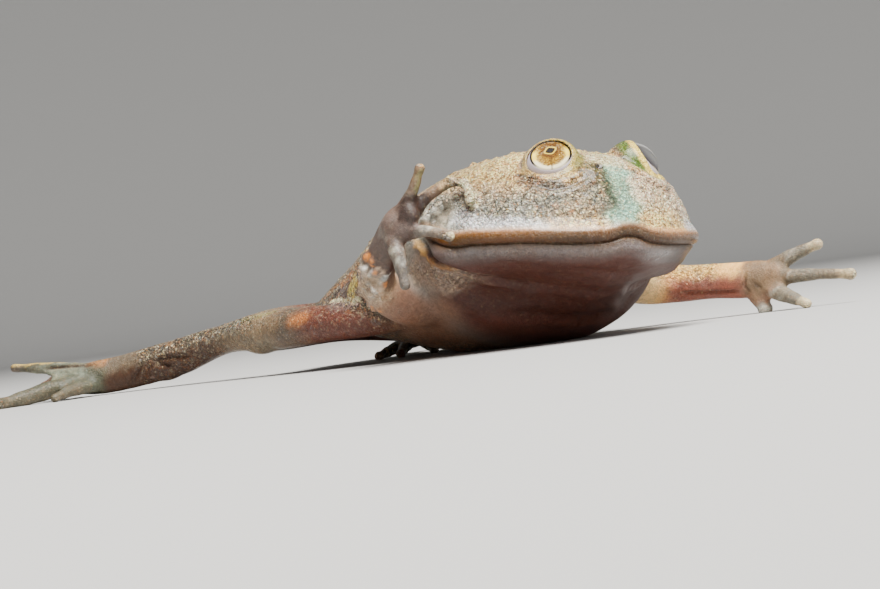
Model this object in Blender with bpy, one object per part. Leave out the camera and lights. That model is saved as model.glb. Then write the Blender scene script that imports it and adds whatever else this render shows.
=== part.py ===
"""A Budgett's frog, life size, crawling over level ground: its left arm reaches out, its right hand is
raised beside the cheek and its right hind leg trails. The snout points to -Y, the frog's left side is
+X and the belly rests at the origin. Sizes and places here are in millimetres."""

import math

import bmesh
import bpy
import numpy as np
from mathutils import Matrix, Vector

MM = 0.001
GAP = 0.3
CUT_TINY = 1e-6

# The trunk's profiles, read at a distance behind the snout.
BODY_LENGTH = 90.0
SNOUT_Y = -42.0
MOUTH_Z = 15.8
JAW_HALF_WIDTH = 23.4
JAW_ARCH = 26.0
JAW_ROUNDNESS = 2.2
BODY_HALF_WIDTH = 27.0
BODY_WIDEST = 52.0
RUMP_ROUNDNESS = 3.0
SNOUT_CROWDING = 1.3
BACK = (
    (0, 15.8), (0.5, 20.5), (1.5, 24.0), (3, 27.0), (5, 29.0), (8, 30.4), (14, 31.3), (22, 31.8),
    (32, 31.0), (44, 29.0), (56, 25.0), (66, 20.4), (76, 15.5), (84, 11.5), (90, 8.5),
)
BELLY = (
    (0, 15.8), (0.6, 13.2), (1.6, 12.2), (4, 10.6), (8, 8.2), (13, 5.4), (19, 2.2), (26, -0.9),
    (34, -2.6), (46, -2.2), (56, 0.3), (66, 3.4), (76, 6.2), (84, 7.6), (90, 8.5),
)
RIM = ((0, 15.8), (28, 15.8), (42, 13.5), (60, 11.0), (76, 9.0), (90, 8.5))
HEAD_ROLL = math.radians(6.6)
HEAD_LIFT = 0.061
NECK = 33.0
CHEST = 60.0

# The lips: how far the skin stands out of the trunk at a height above the mouth line.
LIPS = (
    (-5.5, 0.0), (-3.6, 0.25), (-2.4, 0.55), (-1.2, 0.6), (-0.4, 0.2), (0.0, -0.1), (0.35, 0.75),
    (1.0, 1.35), (1.8, 1.3), (2.8, 0.7), (4.4, 0.1), (6.5, 0.0),
)
MOUTH_CORNER = 28.0
NOTCH_HALF_WIDTH = 4.5
NOTCH_THINNING = 0.6

EYE_RADIUS = 4.5
EYE_PLACE = (7.9, 10.5, 28.5)
EYE_TURN = math.radians(42)
EYE_LIFT = math.radians(45)
LID_RADIUS = 5.15
LID_HEIGHT = 1.7
LID_TILT = math.radians(16)
NOSTRIL_STATION = 4.4
NOSTRIL_TURN = math.radians(78)
NOSTRIL_SIZE = (0.5, 0.8, 0.7)

# Limbs: x, y, z, half width and half height at each station, from the root outwards. A hand or foot
# follows its limb's last stations.
LEFT_ARM = (
    (18, -3, 12, 5.4, 5.4), (26, -3.5, 8.6, 4.4, 4.4), (31.8, -6.2, 7.2, 3.3, 3.5),
    (35.6, -11.6, 6.8, 2.8, 3.2), (38.6, -17.0, 6.3, 2.6, 3.3), (40.6, -20.4, 6.2, 2.2, 3.3),
    (42.2, -23.2, 6.0, 1.8, 2.6),
)
RIGHT_ARM = (
    (-15, -3, 10, 5.0, 5.0), (-23.5, -5.5, 10.4, 4.2, 4.2), (-29.2, -6.6, 13.6, 3.5, 3.4),
    (-30.6, -10.6, 17.4, 3.0, 2.6), (-30.6, -14.0, 20.6, 2.9, 2.2), (-29.8, -17.0, 23.2, 3.4, 2.0),
    (-28.4, -19.6, 25.4, 2.6, 1.6),
)
RIGHT_LEG = (
    (-4, 29, 8.5, 7.5, 6.0), (-18, 32.5, 8.5, 5.2, 4.0), (-31.2, 33.7, 8.4, 4.2, 4.0),
    (-35.6, 46.9, 7.9, 3.2, 2.8), (-40.3, 59.4, 5.6, 3.0, 3.5), (-44.2, 66.0, 4.6, 2.7, 3.5),
    (-48.3, 71.6, 3.8, 2.5, 3.4), (-51.8, 74.8, 3.5, 2.5, 3.3), (-55.0, 77.4, 3.2, 2.2, 2.6),
)
LEFT_THIGH = ((4, 27, 8.5, 7.5, 6.0), (18, 35, 9.4, 5.6, 4.8), (33.5, 41, 10.0, 4.0, 3.9))
LEFT_SHANK = ((33.5, 41, 10.0, 3.7, 3.6), (21, 51.5, 8.6, 3.4, 3.1), (8.5, 60.5, 5.4, 2.8, 2.8))
LEFT_TARSUS = (
    (9.5, 60.0, 3.4, 2.6, 2.4), (7.4, 55.2, 3.2, 2.5, 2.2), (5.2, 50.4, 3.2, 2.7, 2.1),
    (3.6, 46.6, 3.3, 2.8, 1.9), (2.4, 43.2, 3.2, 2.3, 1.5),
)
GROIN_FOLD = (
    (-18.5, 3.5, 8.2, 3.2, 2.8), (-24.2, 8.5, 8.3, 3.8, 3.2), (-28.0, 17.0, 8.4, 4.1, 3.3),
    (-30.0, 26.0, 8.4, 4.0, 3.5),
)
ARM_LENGTHS = {"upper_arm": (0, 2), "forearm": (2, 4), "hand": (4, 6)}
LEG_LENGTHS = {"thigh": (0, 2), "shank": (2, 4), "tarsus": (4, 6), "foot": (6, 8)}
ANKLE_LENGTHS = {"tarsus": (0, 2), "foot": (2, 4)}

# Fingers and toes: x, y, z and half thickness at each station.
LEFT_FINGERS = (
    ((41.6, -21.2, 7.4, 1.7), (45.2, -24.8, 9.6, 1.25), (48.2, -28.2, 11.0, 0.95)),
    ((41.8, -22.2, 6.0, 1.7), (46.2, -29.6, 5.7, 1.0), (49.6, -35.0, 5.0, 1.0)),
    ((40.8, -21.4, 4.4, 1.7), (41.6, -26.2, 2.6, 1.3), (42.2, -31.0, 0.6, 0.85)),
    ((39.6, -18.8, 4.8, 2.0), (40.0, -20.0, 2.6, 1.6), (40.3, -20.8, 0.8, 1.3)),
)
RIGHT_FINGERS = (
    ((-29.4, -17.4, 24.6, 1.7), (-27.6, -20.0, 28.6, 1.0), (-26.4, -21.6, 32.4, 0.85)),
    ((-28.0, -18.4, 24.6, 1.7), (-24.6, -19.6, 27.6, 1.05), (-20.9, -21.6, 29.5, 0.85),
     (-19.3, -24.0, 28.7, 0.8), (-20.3, -26.7, 25.9, 0.85)),
    ((-29.2, -18.0, 22.0, 1.5), (-27.2, -23.0, 21.7, 0.95), (-25.3, -26.9, 20.3, 0.85)),
    ((-30.6, -16.4, 21.6, 1.7), (-31.4, -19.4, 18.0, 1.3), (-31.6, -20.8, 13.2, 0.85)),
)
RIGHT_TOES = (
    ((-51.6, 76.0, 3.4, 1.5), (-52.4, 81.0, 2.6, 1.2), (-52.6, 85.4, 1.2, 0.8)),
    ((-53.0, 76.2, 4.4, 1.5), (-55.6, 84.0, 4.6, 1.2), (-57.6, 91.0, 3.0, 0.8)),
    ((-53.4, 75.8, 5.0, 1.5), (-58.6, 82.4, 6.4, 1.2), (-63.8, 89.0, 7.4, 0.8)),
    ((-54.0, 75.4, 3.2, 1.8), (-61.0, 76.8, 2.4, 1.7), (-67.0, 77.2, 1.2, 1.5), (-72.2, 76.2, 0.6, 1.1)),
    ((-52.8, 74.0, 2.2, 1.5), (-58.4, 72.4, 1.8, 1.2), (-63.0, 70.2, 0.6, 0.8)),
)
LEFT_TOES = (
    ((0.8, 43.0, 3.0, 1.3), (-4.6, 40.2, 1.6, 1.1), (-9.0, 37.6, 0.7, 0.85)),
    ((1.2, 41.8, 3.2, 1.4), (-3.4, 37.0, 1.9, 1.15), (-6.9, 32.6, 0.7, 0.85)),
    ((2.0, 41.2, 3.3, 1.5), (0.4, 35.6, 2.1, 1.2), (-0.8, 30.4, 0.7, 0.85)),
    ((3.0, 41.2, 3.3, 1.5), (4.4, 36.2, 2.1, 1.25), (5.0, 31.0, 0.7, 0.85)),
    ((3.8, 42.2, 3.0, 1.4), (8.2, 39.6, 1.7, 1.1), (11.4, 36.6, 0.7, 0.85)),
)
WEB_THICKNESS = 0.7
WEB_REACH = 0.62

SKIN = {
    "head": (0.62, 0.52, 0.42), "lower_jaw": (0.50, 0.38, 0.36), "torso": (0.55, 0.42, 0.36),
    "arm": (0.63, 0.46, 0.36), "hand": (0.66, 0.52, 0.46), "leg": (0.56, 0.45, 0.36),
    "foot": (0.66, 0.66, 0.58),
}
SKIN_OF = {"upper_arm": "arm", "forearm": "arm", "hand": "hand", "foot": "foot"}
IRIS = (0.78, 0.58, 0.22)


def follow(profile, s):
    """Reads a profile of (station, value) pairs with a curve that never overshoots them."""
    at = np.array([p[0] for p in profile], float)
    value = np.array([p[1] for p in profile], float)
    step = np.diff(at)
    slope = np.diff(value) / step
    same = slope[1:] * slope[:-1] > 0
    total = np.where(same, slope[1:] + slope[:-1], 1)
    inner = np.where(same, 2 * slope[1:] * slope[:-1] / total, 0)
    bend = np.concatenate([slope[:1], inner, slope[-1:]])
    s = np.clip(np.asarray(s, float), at[0], at[-1])
    i = np.clip(np.searchsorted(at, s, side="right") - 1, 0, len(step) - 1)
    t = (s - at[i]) / step[i]
    return (
        value[i] * (2 * t**3 - 3 * t**2 + 1)
        + value[i + 1] * (3 * t**2 - 2 * t**3)
        + step[i] * (bend[i] * (t**3 - 2 * t**2 + t) + bend[i + 1] * (t**3 - t**2))
    )


def ease(low, high, x):
    """Rises smoothly from 0 at low to 1 at high."""
    t = np.clip((np.asarray(x, float) - low) / (high - low), 0, 1)
    return t * t * (3 - 2 * t)


def half_width(s):
    front = np.clip((JAW_ARCH - s) / JAW_ARCH, 0, 1)
    jaw = JAW_HALF_WIDTH * (1 - front**JAW_ROUNDNESS) ** (1 / JAW_ROUNDNESS)
    body = jaw + (BODY_HALF_WIDTH - JAW_HALF_WIDTH) * ease(JAW_ARCH, BODY_WIDEST, s)
    rear = np.clip((s - BODY_WIDEST) / (BODY_LENGTH - BODY_WIDEST), 0, 1)
    return body * (1 - rear**RUMP_ROUNDNESS) ** (1 / RUMP_ROUNDNESS)


def lean(x, s, z):
    """Takes a place on the level, straight frog to its place in the pose, with the head rolled."""
    roll = HEAD_ROLL * (1 - ease(NECK, CHEST, s))
    lift = HEAD_LIFT * np.minimum(s, NECK) * (1 - ease(NECK, CHEST, s))
    up = z - MOUTH_Z
    return (
        x * np.cos(roll) + up * np.sin(roll),
        s + SNOUT_Y,
        MOUTH_Z + up * np.cos(roll) - x * np.sin(roll) + lift,
    )


def section_power(s, above):
    top = 2.1 - 0.1 * ease(30, 60, s)
    low = 1.2 + 0.9 * ease(8, 32, s) - 0.35 * ease(38, 52, s)
    return np.where(above, top, low)


def trunk_point(s, turn):
    """A place on the trunk, from its distance behind the snout and the turn about its long axis."""
    above = np.sin(turn) >= 0
    power = section_power(s, above)
    across = np.sign(np.cos(turn)) * np.abs(np.cos(turn)) ** (2 / power)
    upward = np.abs(np.sin(turn)) ** (2 / power)
    rim = follow(RIM, s)
    reach = np.where(above, follow(BACK, s), follow(BELLY, s)) - rim
    z = rim + reach * upward
    x = half_width(s) * across
    notch = NOTCH_THINNING * (1 - ease(0, NOTCH_HALF_WIDTH, np.abs(x)))
    lip = follow(LIPS, z - MOUTH_Z) * (1 - notch) * (1 - ease(MOUTH_CORNER - 4, MOUTH_CORNER + 6, s))
    ahead = np.clip((JAW_ARCH - s) / JAW_ARCH, 0, 1) ** 1.2
    side = np.where(np.abs(across) > 0, np.sign(across), 0) * np.minimum(np.abs(x) / JAW_HALF_WIDTH, 1)
    return lean(x + lip * side, s - lip * ahead, z)


def make_object(name, mesh_maker):
    mesh = bpy.data.meshes.new(name)
    mesh_maker.to_mesh(mesh)
    mesh_maker.free()
    obj = bpy.data.objects.new(name, mesh)
    bpy.context.scene.collection.objects.link(obj)
    return obj


def loft(name, rings, start_tip=None, end_tip=None):
    """Skins a row of rings of equally many points, closed by a tip or a flat face at each end."""
    bm = bmesh.new()
    rows = [[bm.verts.new(Vector(p) * MM) for p in ring] for ring in rings]
    count = len(rows[0])
    for row, beyond in zip(rows, rows[1:]):
        for j in range(count):
            k = (j + 1) % count
            bm.faces.new((row[j], row[k], beyond[k], beyond[j]))
    for row, tip, first in ((rows[0], start_tip, True), (rows[-1], end_tip, False)):
        ordered = row[::-1] if first else row
        if tip is None:
            bm.faces.new(ordered)
            continue
        point = bm.verts.new(Vector(tip) * MM)
        for j in range(count):
            bm.faces.new((ordered[j], ordered[(j + 1) % count], point))
    bmesh.ops.recalc_face_normals(bm, faces=bm.faces)
    return make_object(name, bm)


def make_trunk(rings=48, quarter=10):
    """The whole trunk, its rings closer at the snout and rump and its sides closer at the mouth."""
    fraction = np.arange(1, rings) / rings
    s = BODY_LENGTH * (0.5 - 0.5 * np.cos(fraction * math.pi)) ** SNOUT_CROWDING
    rise = (np.arange(quarter + 1) / quarter) ** 2 * math.pi / 2
    upper = np.concatenate([rise, math.pi - rise[-2::-1]])
    turn = np.concatenate([upper, -upper[-2:0:-1]])
    rows = [np.stack(trunk_point(np.full(len(turn), v), turn), -1) for v in s]
    snout = [float(v) for v in lean(0.0, 0.0, MOUTH_Z)]
    rump = [float(v) for v in lean(0.0, BODY_LENGTH, BACK[-1][1])]
    return loft("trunk", rows, snout, rump)


def curve_at(stations, t):
    """A place, half width, half height and direction on the smooth curve through the stations."""
    points = np.array(stations, float)
    last = len(points) - 1
    i = min(int(t), last - 1)
    u = t - i
    before = points[i - 1] if i > 0 else 2 * points[0] - points[1]
    after = points[i + 2] if i + 2 <= last else 2 * points[-1] - points[-2]
    a, b = points[i], points[i + 1]
    first = b - before
    second = 2 * before - 5 * a + 4 * b - after
    third = 3 * a - before - 3 * b + after
    place = 0.5 * (2 * a + first * u + second * u**2 + third * u**3)
    slope = 0.5 * (first + 2 * second * u + 3 * third * u**2)
    return Vector(place[:3]), float(place[3]), float(place[-1]), Vector(slope[:3]).normalized()


def ring_at(place, along, width, height, sides, up):
    side = along.cross(up).normalized()
    crown = side.cross(along).normalized()
    ring = []
    for j in range(sides):
        a = 2 * math.pi * j / sides
        ring.append(place + side * (width * math.cos(a)) + crown * (height * math.sin(a)))
    return ring


def tube(name, stations, begin, end, up, per=3, sides=12, trim=(0.0, 0.0), rounded=(False, False)):
    """A limb or digit along its stations, from one station to another, with flat or rounded ends."""
    up = Vector(up)
    steps = max(2, round((end - begin) * per))
    sampled = [list(curve_at(stations, begin + (end - begin) * k / steps)) for k in range(steps + 1)]
    sampled[0][0] = sampled[0][0] + sampled[0][3] * trim[0]
    sampled[-1][0] = sampled[-1][0] - sampled[-1][3] * trim[1]
    rings = [ring_at(place, along, width, height, sides, up) for place, width, height, along in sampled]
    tips = [None, None]
    for which, (place, width, height, along) in ((0, sampled[0]), (1, sampled[-1])):
        if not rounded[which]:
            continue
        out = -along if which == 0 else along
        size = min(width, height)
        domes = [
            ring_at(place + out * (size * math.sin(a)), along, width * math.cos(a), height * math.cos(a), sides, up)
            for a in (math.radians(28), math.radians(58))
        ]
        rings = domes[::-1] + rings if which == 0 else rings + domes
        tips[which] = place + out * size
    return loft(name, rings, tips[0], tips[1])


def web(name, toe_a, toe_b, reach, rows=4, across=3):
    """The thin web between two toes: a sheet with a hollow free edge, split alike on both faces."""
    bm = bmesh.new()
    grid = []
    for i in range(rows + 1):
        line = []
        for j in range(across + 1):
            v = j / across
            out = reach * (1 - 0.45 * math.sin(math.pi * v)) * i / rows
            a = curve_at(toe_a, 0.15 + out * (len(toe_a) - 1))[0]
            b = curve_at(toe_b, 0.15 + out * (len(toe_b) - 1))[0]
            line.append(a.lerp(b, v))
        grid.append(line)
    normal = (grid[-1][0] - grid[0][0]).cross(grid[-1][-1] - grid[0][0]).normalized()
    layers = []
    for sign in (1, -1):
        shift = normal * (sign * WEB_THICKNESS / 2)
        layers.append([[bm.verts.new((p + shift) * MM) for p in line] for line in grid])
    for layer in layers:
        for i in range(rows):
            for j in range(across):
                a, b, c, d = layer[i][j], layer[i][j + 1], layer[i + 1][j + 1], layer[i + 1][j]
                bm.faces.new((a, b, c))
                bm.faces.new((a, c, d))
    top, low = layers
    border = [(0, j) for j in range(across)] + [(i, across) for i in range(rows)]
    border += [(rows, j) for j in range(across, 0, -1)] + [(i, 0) for i in range(rows, 0, -1)]
    for k, (i, j) in enumerate(border):
        m, n = border[(k + 1) % len(border)]
        bm.faces.new((top[i][j], top[m][n], low[m][n]))
        bm.faces.new((top[i][j], low[m][n], low[i][j]))
    bmesh.ops.recalc_face_normals(bm, faces=bm.faces)
    return make_object(name, bm)


def apply_boolean(obj, other, operation, solver="EXACT"):
    """Cuts or joins one object, or every object of a list, and removes what was used."""
    others = list(other) if isinstance(other, (list, tuple)) else [other]
    group = bpy.data.collections.new("pieces")
    bpy.context.scene.collection.children.link(group)
    for piece in others:
        group.objects.link(piece)
    change = obj.modifiers.new("Boolean", "BOOLEAN")
    change.operation = operation
    change.operand_type = "COLLECTION"
    change.collection = group
    change.solver = solver
    bake(obj)
    for piece in others:
        bpy.data.objects.remove(piece)
    bpy.data.collections.remove(group)
    return keep_largest(obj)


def bake(obj):
    depsgraph = bpy.context.evaluated_depsgraph_get()
    done = bpy.data.meshes.new_from_object(obj.evaluated_get(depsgraph))
    obj.modifiers.clear()
    old = obj.data
    obj.data = done
    bpy.data.meshes.remove(old)
    return obj


def keep_largest(obj):
    """Keeps the largest closed surface, so that no scrap of a cut or sealed hollow stays."""
    bm = bmesh.new()
    bm.from_mesh(obj.data)
    left = set(bm.verts)
    pieces = []
    while left:
        stack = [left.pop()]
        piece = set(stack)
        while stack:
            for edge in stack.pop().link_edges:
                for vert in edge.verts:
                    if vert in left:
                        left.discard(vert)
                        piece.add(vert)
                        stack.append(vert)
        pieces.append(piece)
    pieces.sort(key=len)
    drop = [v for piece in pieces[:-1] for v in piece]
    bmesh.ops.delete(bm, geom=drop, context="VERTS")
    bm.to_mesh(obj.data)
    bm.free()
    return obj


def slice_off(obj, place, normal):
    """Cuts away all that lies past a plane, and closes the cut with a flat face."""
    bm = bmesh.new()
    bm.from_mesh(obj.data)
    geometry = bm.verts[:] + bm.edges[:] + bm.faces[:]
    cut = bmesh.ops.bisect_plane(
        bm, geom=geometry, dist=CUT_TINY, clear_outer=True,
        plane_co=Vector(place) * MM, plane_no=Vector(normal),
    )
    edges = [e for e in cut["geom_cut"] if isinstance(e, bmesh.types.BMEdge)]
    if edges:
        bmesh.ops.edgeloop_fill(bm, edges=edges)
        bmesh.ops.recalc_face_normals(bm, faces=bm.faces)
    bm.to_mesh(obj.data)
    bm.free()
    return obj


def stand_on_floor(obj):
    return slice_off(obj, (0, 0, 0), (0, 0, -1))


def copy_of(obj, name):
    new = bpy.data.objects.new(name, obj.data.copy())
    bpy.context.scene.collection.objects.link(new)
    return new


def grown(obj, name, by):
    """A copy whose skin lies further out by the given distance."""
    new = copy_of(obj, name)
    bm = bmesh.new()
    bm.from_mesh(new.data)
    bm.normal_update()
    shifts = [v.normal * (by * MM * v.calc_shell_factor()) for v in bm.verts]
    for vert, shift in zip(bm.verts, shifts):
        vert.co += shift
    bm.to_mesh(new.data)
    bm.free()
    return new


def ball(name, centre, radius, stretch=(1, 1, 1), turn=None, segments=20, rings=12):
    bm = bmesh.new()
    bmesh.ops.create_uvsphere(bm, u_segments=segments, v_segments=rings, radius=radius * MM)
    matrix = Matrix.Translation(Vector(centre) * MM)
    if turn is not None:
        matrix = matrix @ turn.to_matrix().to_4x4()
    matrix = matrix @ Matrix.Diagonal((*stretch, 1))
    bmesh.ops.transform(bm, matrix=matrix, verts=bm.verts)
    return make_object(name, bm)


def eye_frame(side):
    """The centre of an eye and the way it looks, in the pose."""
    x, s, z = EYE_PLACE
    centre = Vector([float(v) for v in lean(side * x, s, z)])
    out = (side * math.sin(EYE_TURN) * math.cos(EYE_LIFT), -math.cos(EYE_TURN) * math.cos(EYE_LIFT), math.sin(EYE_LIFT))
    look = Matrix.Rotation(HEAD_ROLL, 3, "Y") @ Vector(out)
    return centre, look.normalized()


def make_head_and_jaw(trunk):
    neck_y = SNOUT_Y + NECK
    front = slice_off(copy_of(trunk, "front"), (0, neck_y - GAP / 2, 0), (0, 1, 0))
    across = Vector((math.cos(HEAD_ROLL), 0, -math.sin(HEAD_ROLL)))
    along = Vector((0, 1, HEAD_LIFT))
    up = across.cross(along).normalized()
    line = Vector((0, SNOUT_Y, MOUTH_Z))
    head = slice_off(copy_of(front, "head"), line + up * (GAP / 2), -up)
    jaw = slice_off(copy_of(front, "lower_jaw"), line - up * (GAP / 2), up)
    bpy.data.objects.remove(front)
    lids = []
    sockets = []
    for side in (-1, 1):
        centre, look = eye_frame(side)
        turn = look.to_track_quat("Z", "Y")
        lid = ball("lid", centre, LID_RADIUS, turn=turn)
        opening = Matrix.Rotation(side * LID_TILT, 3, "Y") @ look
        lids.append(slice_off(lid, centre + look * LID_HEIGHT, opening))
        sockets.append(ball("socket", centre, EYE_RADIUS + GAP, turn=turn))
        turned = NOSTRIL_TURN if side > 0 else math.pi - NOSTRIL_TURN
        place = Vector([float(v) for v in trunk_point(np.array(NOSTRIL_STATION), np.array(turned))])
        sockets.append(ball("nostril", place, 1.0, stretch=NOSTRIL_SIZE, segments=8, rings=6))
    head = apply_boolean(head, lids, "UNION")
    head = apply_boolean(head, sockets, "DIFFERENCE")
    return head, stand_on_floor(jaw)


def make_eye(side, name):
    centre, look = eye_frame(side)
    return ball(name, centre, EYE_RADIUS, turn=look.to_track_quat("Z", "Y"))


def clear_of(obj, *others):
    """Cuts an object clear of others by the gap that touching pieces keep."""
    for other in others:
        obj = apply_boolean(obj, grown(other, "clearance", GAP), "DIFFERENCE")
    return obj


def make_limb(side, stations, lengths, body, up, digits, webbed=False, fold=None):
    """The lengths of one limb, parted at its joints, and its hand or foot with digits and webs.
    A fold of loose skin may run along the front of its thigh."""
    made = []
    for name, (begin, end) in lengths.items():
        is_paw = name in ("hand", "foot")
        trim = (0.0 if begin == 0 else GAP / 2, 0.0 if is_paw else GAP / 2)
        length = tube(f"{side}_{name}", stations, begin, end, up, trim=trim, rounded=(False, is_paw))
        if is_paw:
            pieces = [
                tube("digit", digit, 0, len(digit) - 1, (0, 0, 1), sides=8, per=3, rounded=(True, True))
                for digit in digits
            ]
            if webbed:
                pieces += [web("web", a, b, WEB_REACH) for a, b in zip(digits, digits[1:])]
            length = apply_boolean(length, pieces, "UNION")
        if fold and name == "thigh":
            skin = tube("fold", fold, 0, len(fold) - 1, up, rounded=(True, True))
            length = apply_boolean(length, [skin], "UNION")
        made.append(stand_on_floor(clear_of(length, body)))
    return made


def make_folded_leg(body):
    """The folded left hind leg, whose lengths have round ends that sit in hollows of the next."""
    up = (0, 0, 1)
    thigh = tube("left_thigh", LEFT_THIGH, 0, 2, up, rounded=(False, True))
    shank = tube("left_shank", LEFT_SHANK, 0, 2, up, rounded=(True, True))
    tarsus, foot = make_limb("left", LEFT_TARSUS, ANKLE_LENGTHS, body, up, LEFT_TOES, webbed=True)
    shank = clear_of(shank, thigh)
    return [clear_of(thigh, body), clear_of(shank, body), clear_of(tarsus, shank, thigh), clear_of(foot, shank, thigh)]


def finish(obj, colour, roughness, name=None):
    material = bpy.data.materials.new(name or obj.name)
    material.use_nodes = True
    shader = material.node_tree.nodes["Principled BSDF"]
    shader.inputs["Base Color"].default_value = (*colour, 1)
    shader.inputs["Roughness"].default_value = roughness
    shader.inputs["Metallic"].default_value = 0.0
    obj.data.materials.clear()
    obj.data.materials.append(material)
    obj.data.shade_smooth()
    obj.data.set_sharp_from_angle(angle=math.radians(50))


def main():
    for old in list(bpy.data.objects):
        bpy.data.objects.remove(old)
    trunk = make_trunk()
    head, jaw = make_head_and_jaw(trunk)
    torso = slice_off(copy_of(trunk, "torso"), (0, SNOUT_Y + NECK + GAP / 2, 0), (0, -1, 0))
    torso = stand_on_floor(torso)
    finish(head, SKIN["head"], 0.4)
    finish(jaw, SKIN["lower_jaw"], 0.4)
    finish(torso, SKIN["torso"], 0.4)
    for side, name in ((-1, "right_eye"), (1, "left_eye")):
        finish(make_eye(side, name), IRIS, 0.1)
    sky, out = (0, 0, 1), (-1, 0, 0)
    lengths = make_limb("left", LEFT_ARM, ARM_LENGTHS, trunk, sky, LEFT_FINGERS)
    lengths += make_limb("right", RIGHT_ARM, ARM_LENGTHS, trunk, out, RIGHT_FINGERS)
    lengths += make_limb("right", RIGHT_LEG, LEG_LENGTHS, trunk, sky, RIGHT_TOES, webbed=True, fold=GROIN_FOLD)
    lengths += make_folded_leg(trunk)
    for length in lengths:
        kind = length.name.split("_", 1)[1]
        finish(length, SKIN[SKIN_OF.get(kind, "leg")], 0.4)
    bpy.data.objects.remove(trunk)


main()
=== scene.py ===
"""Dresses a Budgett's frog: one wet, granular skin over its whole body, two gold eyes with clear
corneas, and a plain pale stage. Lengths are in millimetres unless a name says otherwise."""

import math

import bmesh
import bpy
import numpy as np
from bpy.props import FloatProperty, FloatVectorProperty, IntProperty, PointerProperty
from mathutils import Matrix, Vector


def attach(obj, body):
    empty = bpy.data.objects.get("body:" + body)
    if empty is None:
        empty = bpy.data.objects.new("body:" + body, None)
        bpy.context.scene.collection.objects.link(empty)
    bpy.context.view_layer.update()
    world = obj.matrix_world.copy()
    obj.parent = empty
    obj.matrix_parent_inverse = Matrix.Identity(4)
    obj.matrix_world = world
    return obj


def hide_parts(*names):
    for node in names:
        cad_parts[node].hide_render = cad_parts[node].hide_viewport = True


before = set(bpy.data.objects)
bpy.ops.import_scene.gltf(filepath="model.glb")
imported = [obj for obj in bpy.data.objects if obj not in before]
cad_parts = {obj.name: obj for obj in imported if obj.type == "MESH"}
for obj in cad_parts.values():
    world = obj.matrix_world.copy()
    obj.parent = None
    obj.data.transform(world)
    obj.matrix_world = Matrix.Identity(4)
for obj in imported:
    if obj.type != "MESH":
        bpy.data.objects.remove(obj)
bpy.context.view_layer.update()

bl_info = {
    "name": "Budgett's Frog",
    "version": (1, 0, 0),
    "blender": (4, 5, 0),
    "location": "View3D > Sidebar > Frog",
    "description": "Skin, eyes and stage of a life-size Budgett's frog",
    "category": "Add Mesh",
}

MM = 0.001
EYE_NODES = ("right_eye", "left_eye")
FLESH_NODES = tuple(name for name in sorted(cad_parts) if name not in EYE_NODES)

# The trunk's profiles, read at a distance behind the snout, as in the solids.
BODY_LENGTH = 90.0
SNOUT_Y = -42.0
MOUTH_Z = 15.8
JAW_HALF_WIDTH = 23.4
JAW_ARCH = 26.0
JAW_ROUNDNESS = 2.2
BODY_HALF_WIDTH = 27.0
BODY_WIDEST = 52.0
RUMP_ROUNDNESS = 3.0
BACK = (
    (0, 15.8), (0.5, 20.5), (1.5, 24.0), (3, 27.0), (5, 29.0), (8, 30.4), (14, 31.3), (22, 31.8),
    (32, 31.0), (44, 29.0), (56, 25.0), (66, 20.4), (76, 15.5), (84, 11.5), (90, 8.5),
)
BELLY = (
    (0, 15.8), (0.6, 13.2), (1.6, 12.2), (4, 10.6), (8, 8.2), (13, 5.4), (19, 2.2), (26, -0.9),
    (34, -2.6), (46, -2.2), (56, 0.3), (66, 3.4), (76, 6.2), (84, 7.6), (90, 8.5),
)
RIM = ((0, 15.8), (28, 15.8), (42, 13.5), (60, 11.0), (76, 9.0), (90, 8.5))
HEAD_ROLL = math.radians(6.6)
HEAD_LIFT = 0.061
NECK = 33.0
CHEST = 60.0

# The mouth: the height of its line at a distance from the middle, how it rises towards the corner,
# and how far the lips stand out at a height above the line.
MOUTH_LINE = (
    (0, 16.35), (1.4, 16.2), (3, 15.7), (5, 15.3), (10, 15.2), (16, 15.35), (20, 15.2), (24, 15.1),
)
MOUTH_RISE = ((0, 0), (14, 0), (18, -0.3), (23, 0.5), (28, 1.5), (34, 2.6))
MOUTH_CORNER = 27.0
LIPS = (
    (-16, 0), (-12, -1.5), (-9.0, -2.6), (-6.8, -2.6), (-5.2, -1.3), (-4.4, 0.2), (-3.6, 1.0),
    (-2.0, 1.25), (-1.0, 1.1), (-0.5, 0.95), (-0.2, 0.75), (-0.04, 0.5), (0.08, 0.5), (0.22, 0.75),
    (0.8, 1.1), (1.7, 1.2), (2.8, 0.7), (4.4, 0.1), (6.5, 0),
)
# Rows of edges cut into the mesh at these heights over the mouth's line, and how near to it.
MOUTH_CUTS = (-1.0, -0.45, -0.2, -0.08, 0.02, 0.12, 0.24, 0.5, 1.0)
MOUTH_CUT_REACH = 1.6
# Below this height the chin is drawn in under the lower lip.
CHIN_TOP = -4
# The head's front, where no limb lies over the trunk: its half width, and its depth on each side.
FRONT_HALF_WIDTH = 26
FRONT_DEPTH_LEFT = 28
FRONT_DEPTH_RIGHT = 12

EYE_RADIUS = 4.5
EYE_PLACE = (7.9, 10.5, 28.25)
EYE_TURNS = {-1: math.radians(37), 1: math.radians(56)}
EYE_LIFT = math.radians(41)
LID_RADIUS = 5.05
LID_HEIGHT = 2.5
LID_TILT = math.radians(14)
# The lids' flat face: how far a point may lie from it, and rows of edges cut round its opening.
LID_BAND = 1.2
LID_FACE_BAND = 0.9
LID_CUTS = (0, -0.18, 0.25, 0.5)
LID_EDGE = 0.22
LID_EDGE_OUT = 0.25
LID_EDGE_WIDTH = 0.35
# The lids' pale edge on each side: its width and strength.
LID_STRIPS = {-1: (0.3, 0.35), 1: (0.8, 1.0)}
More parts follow.
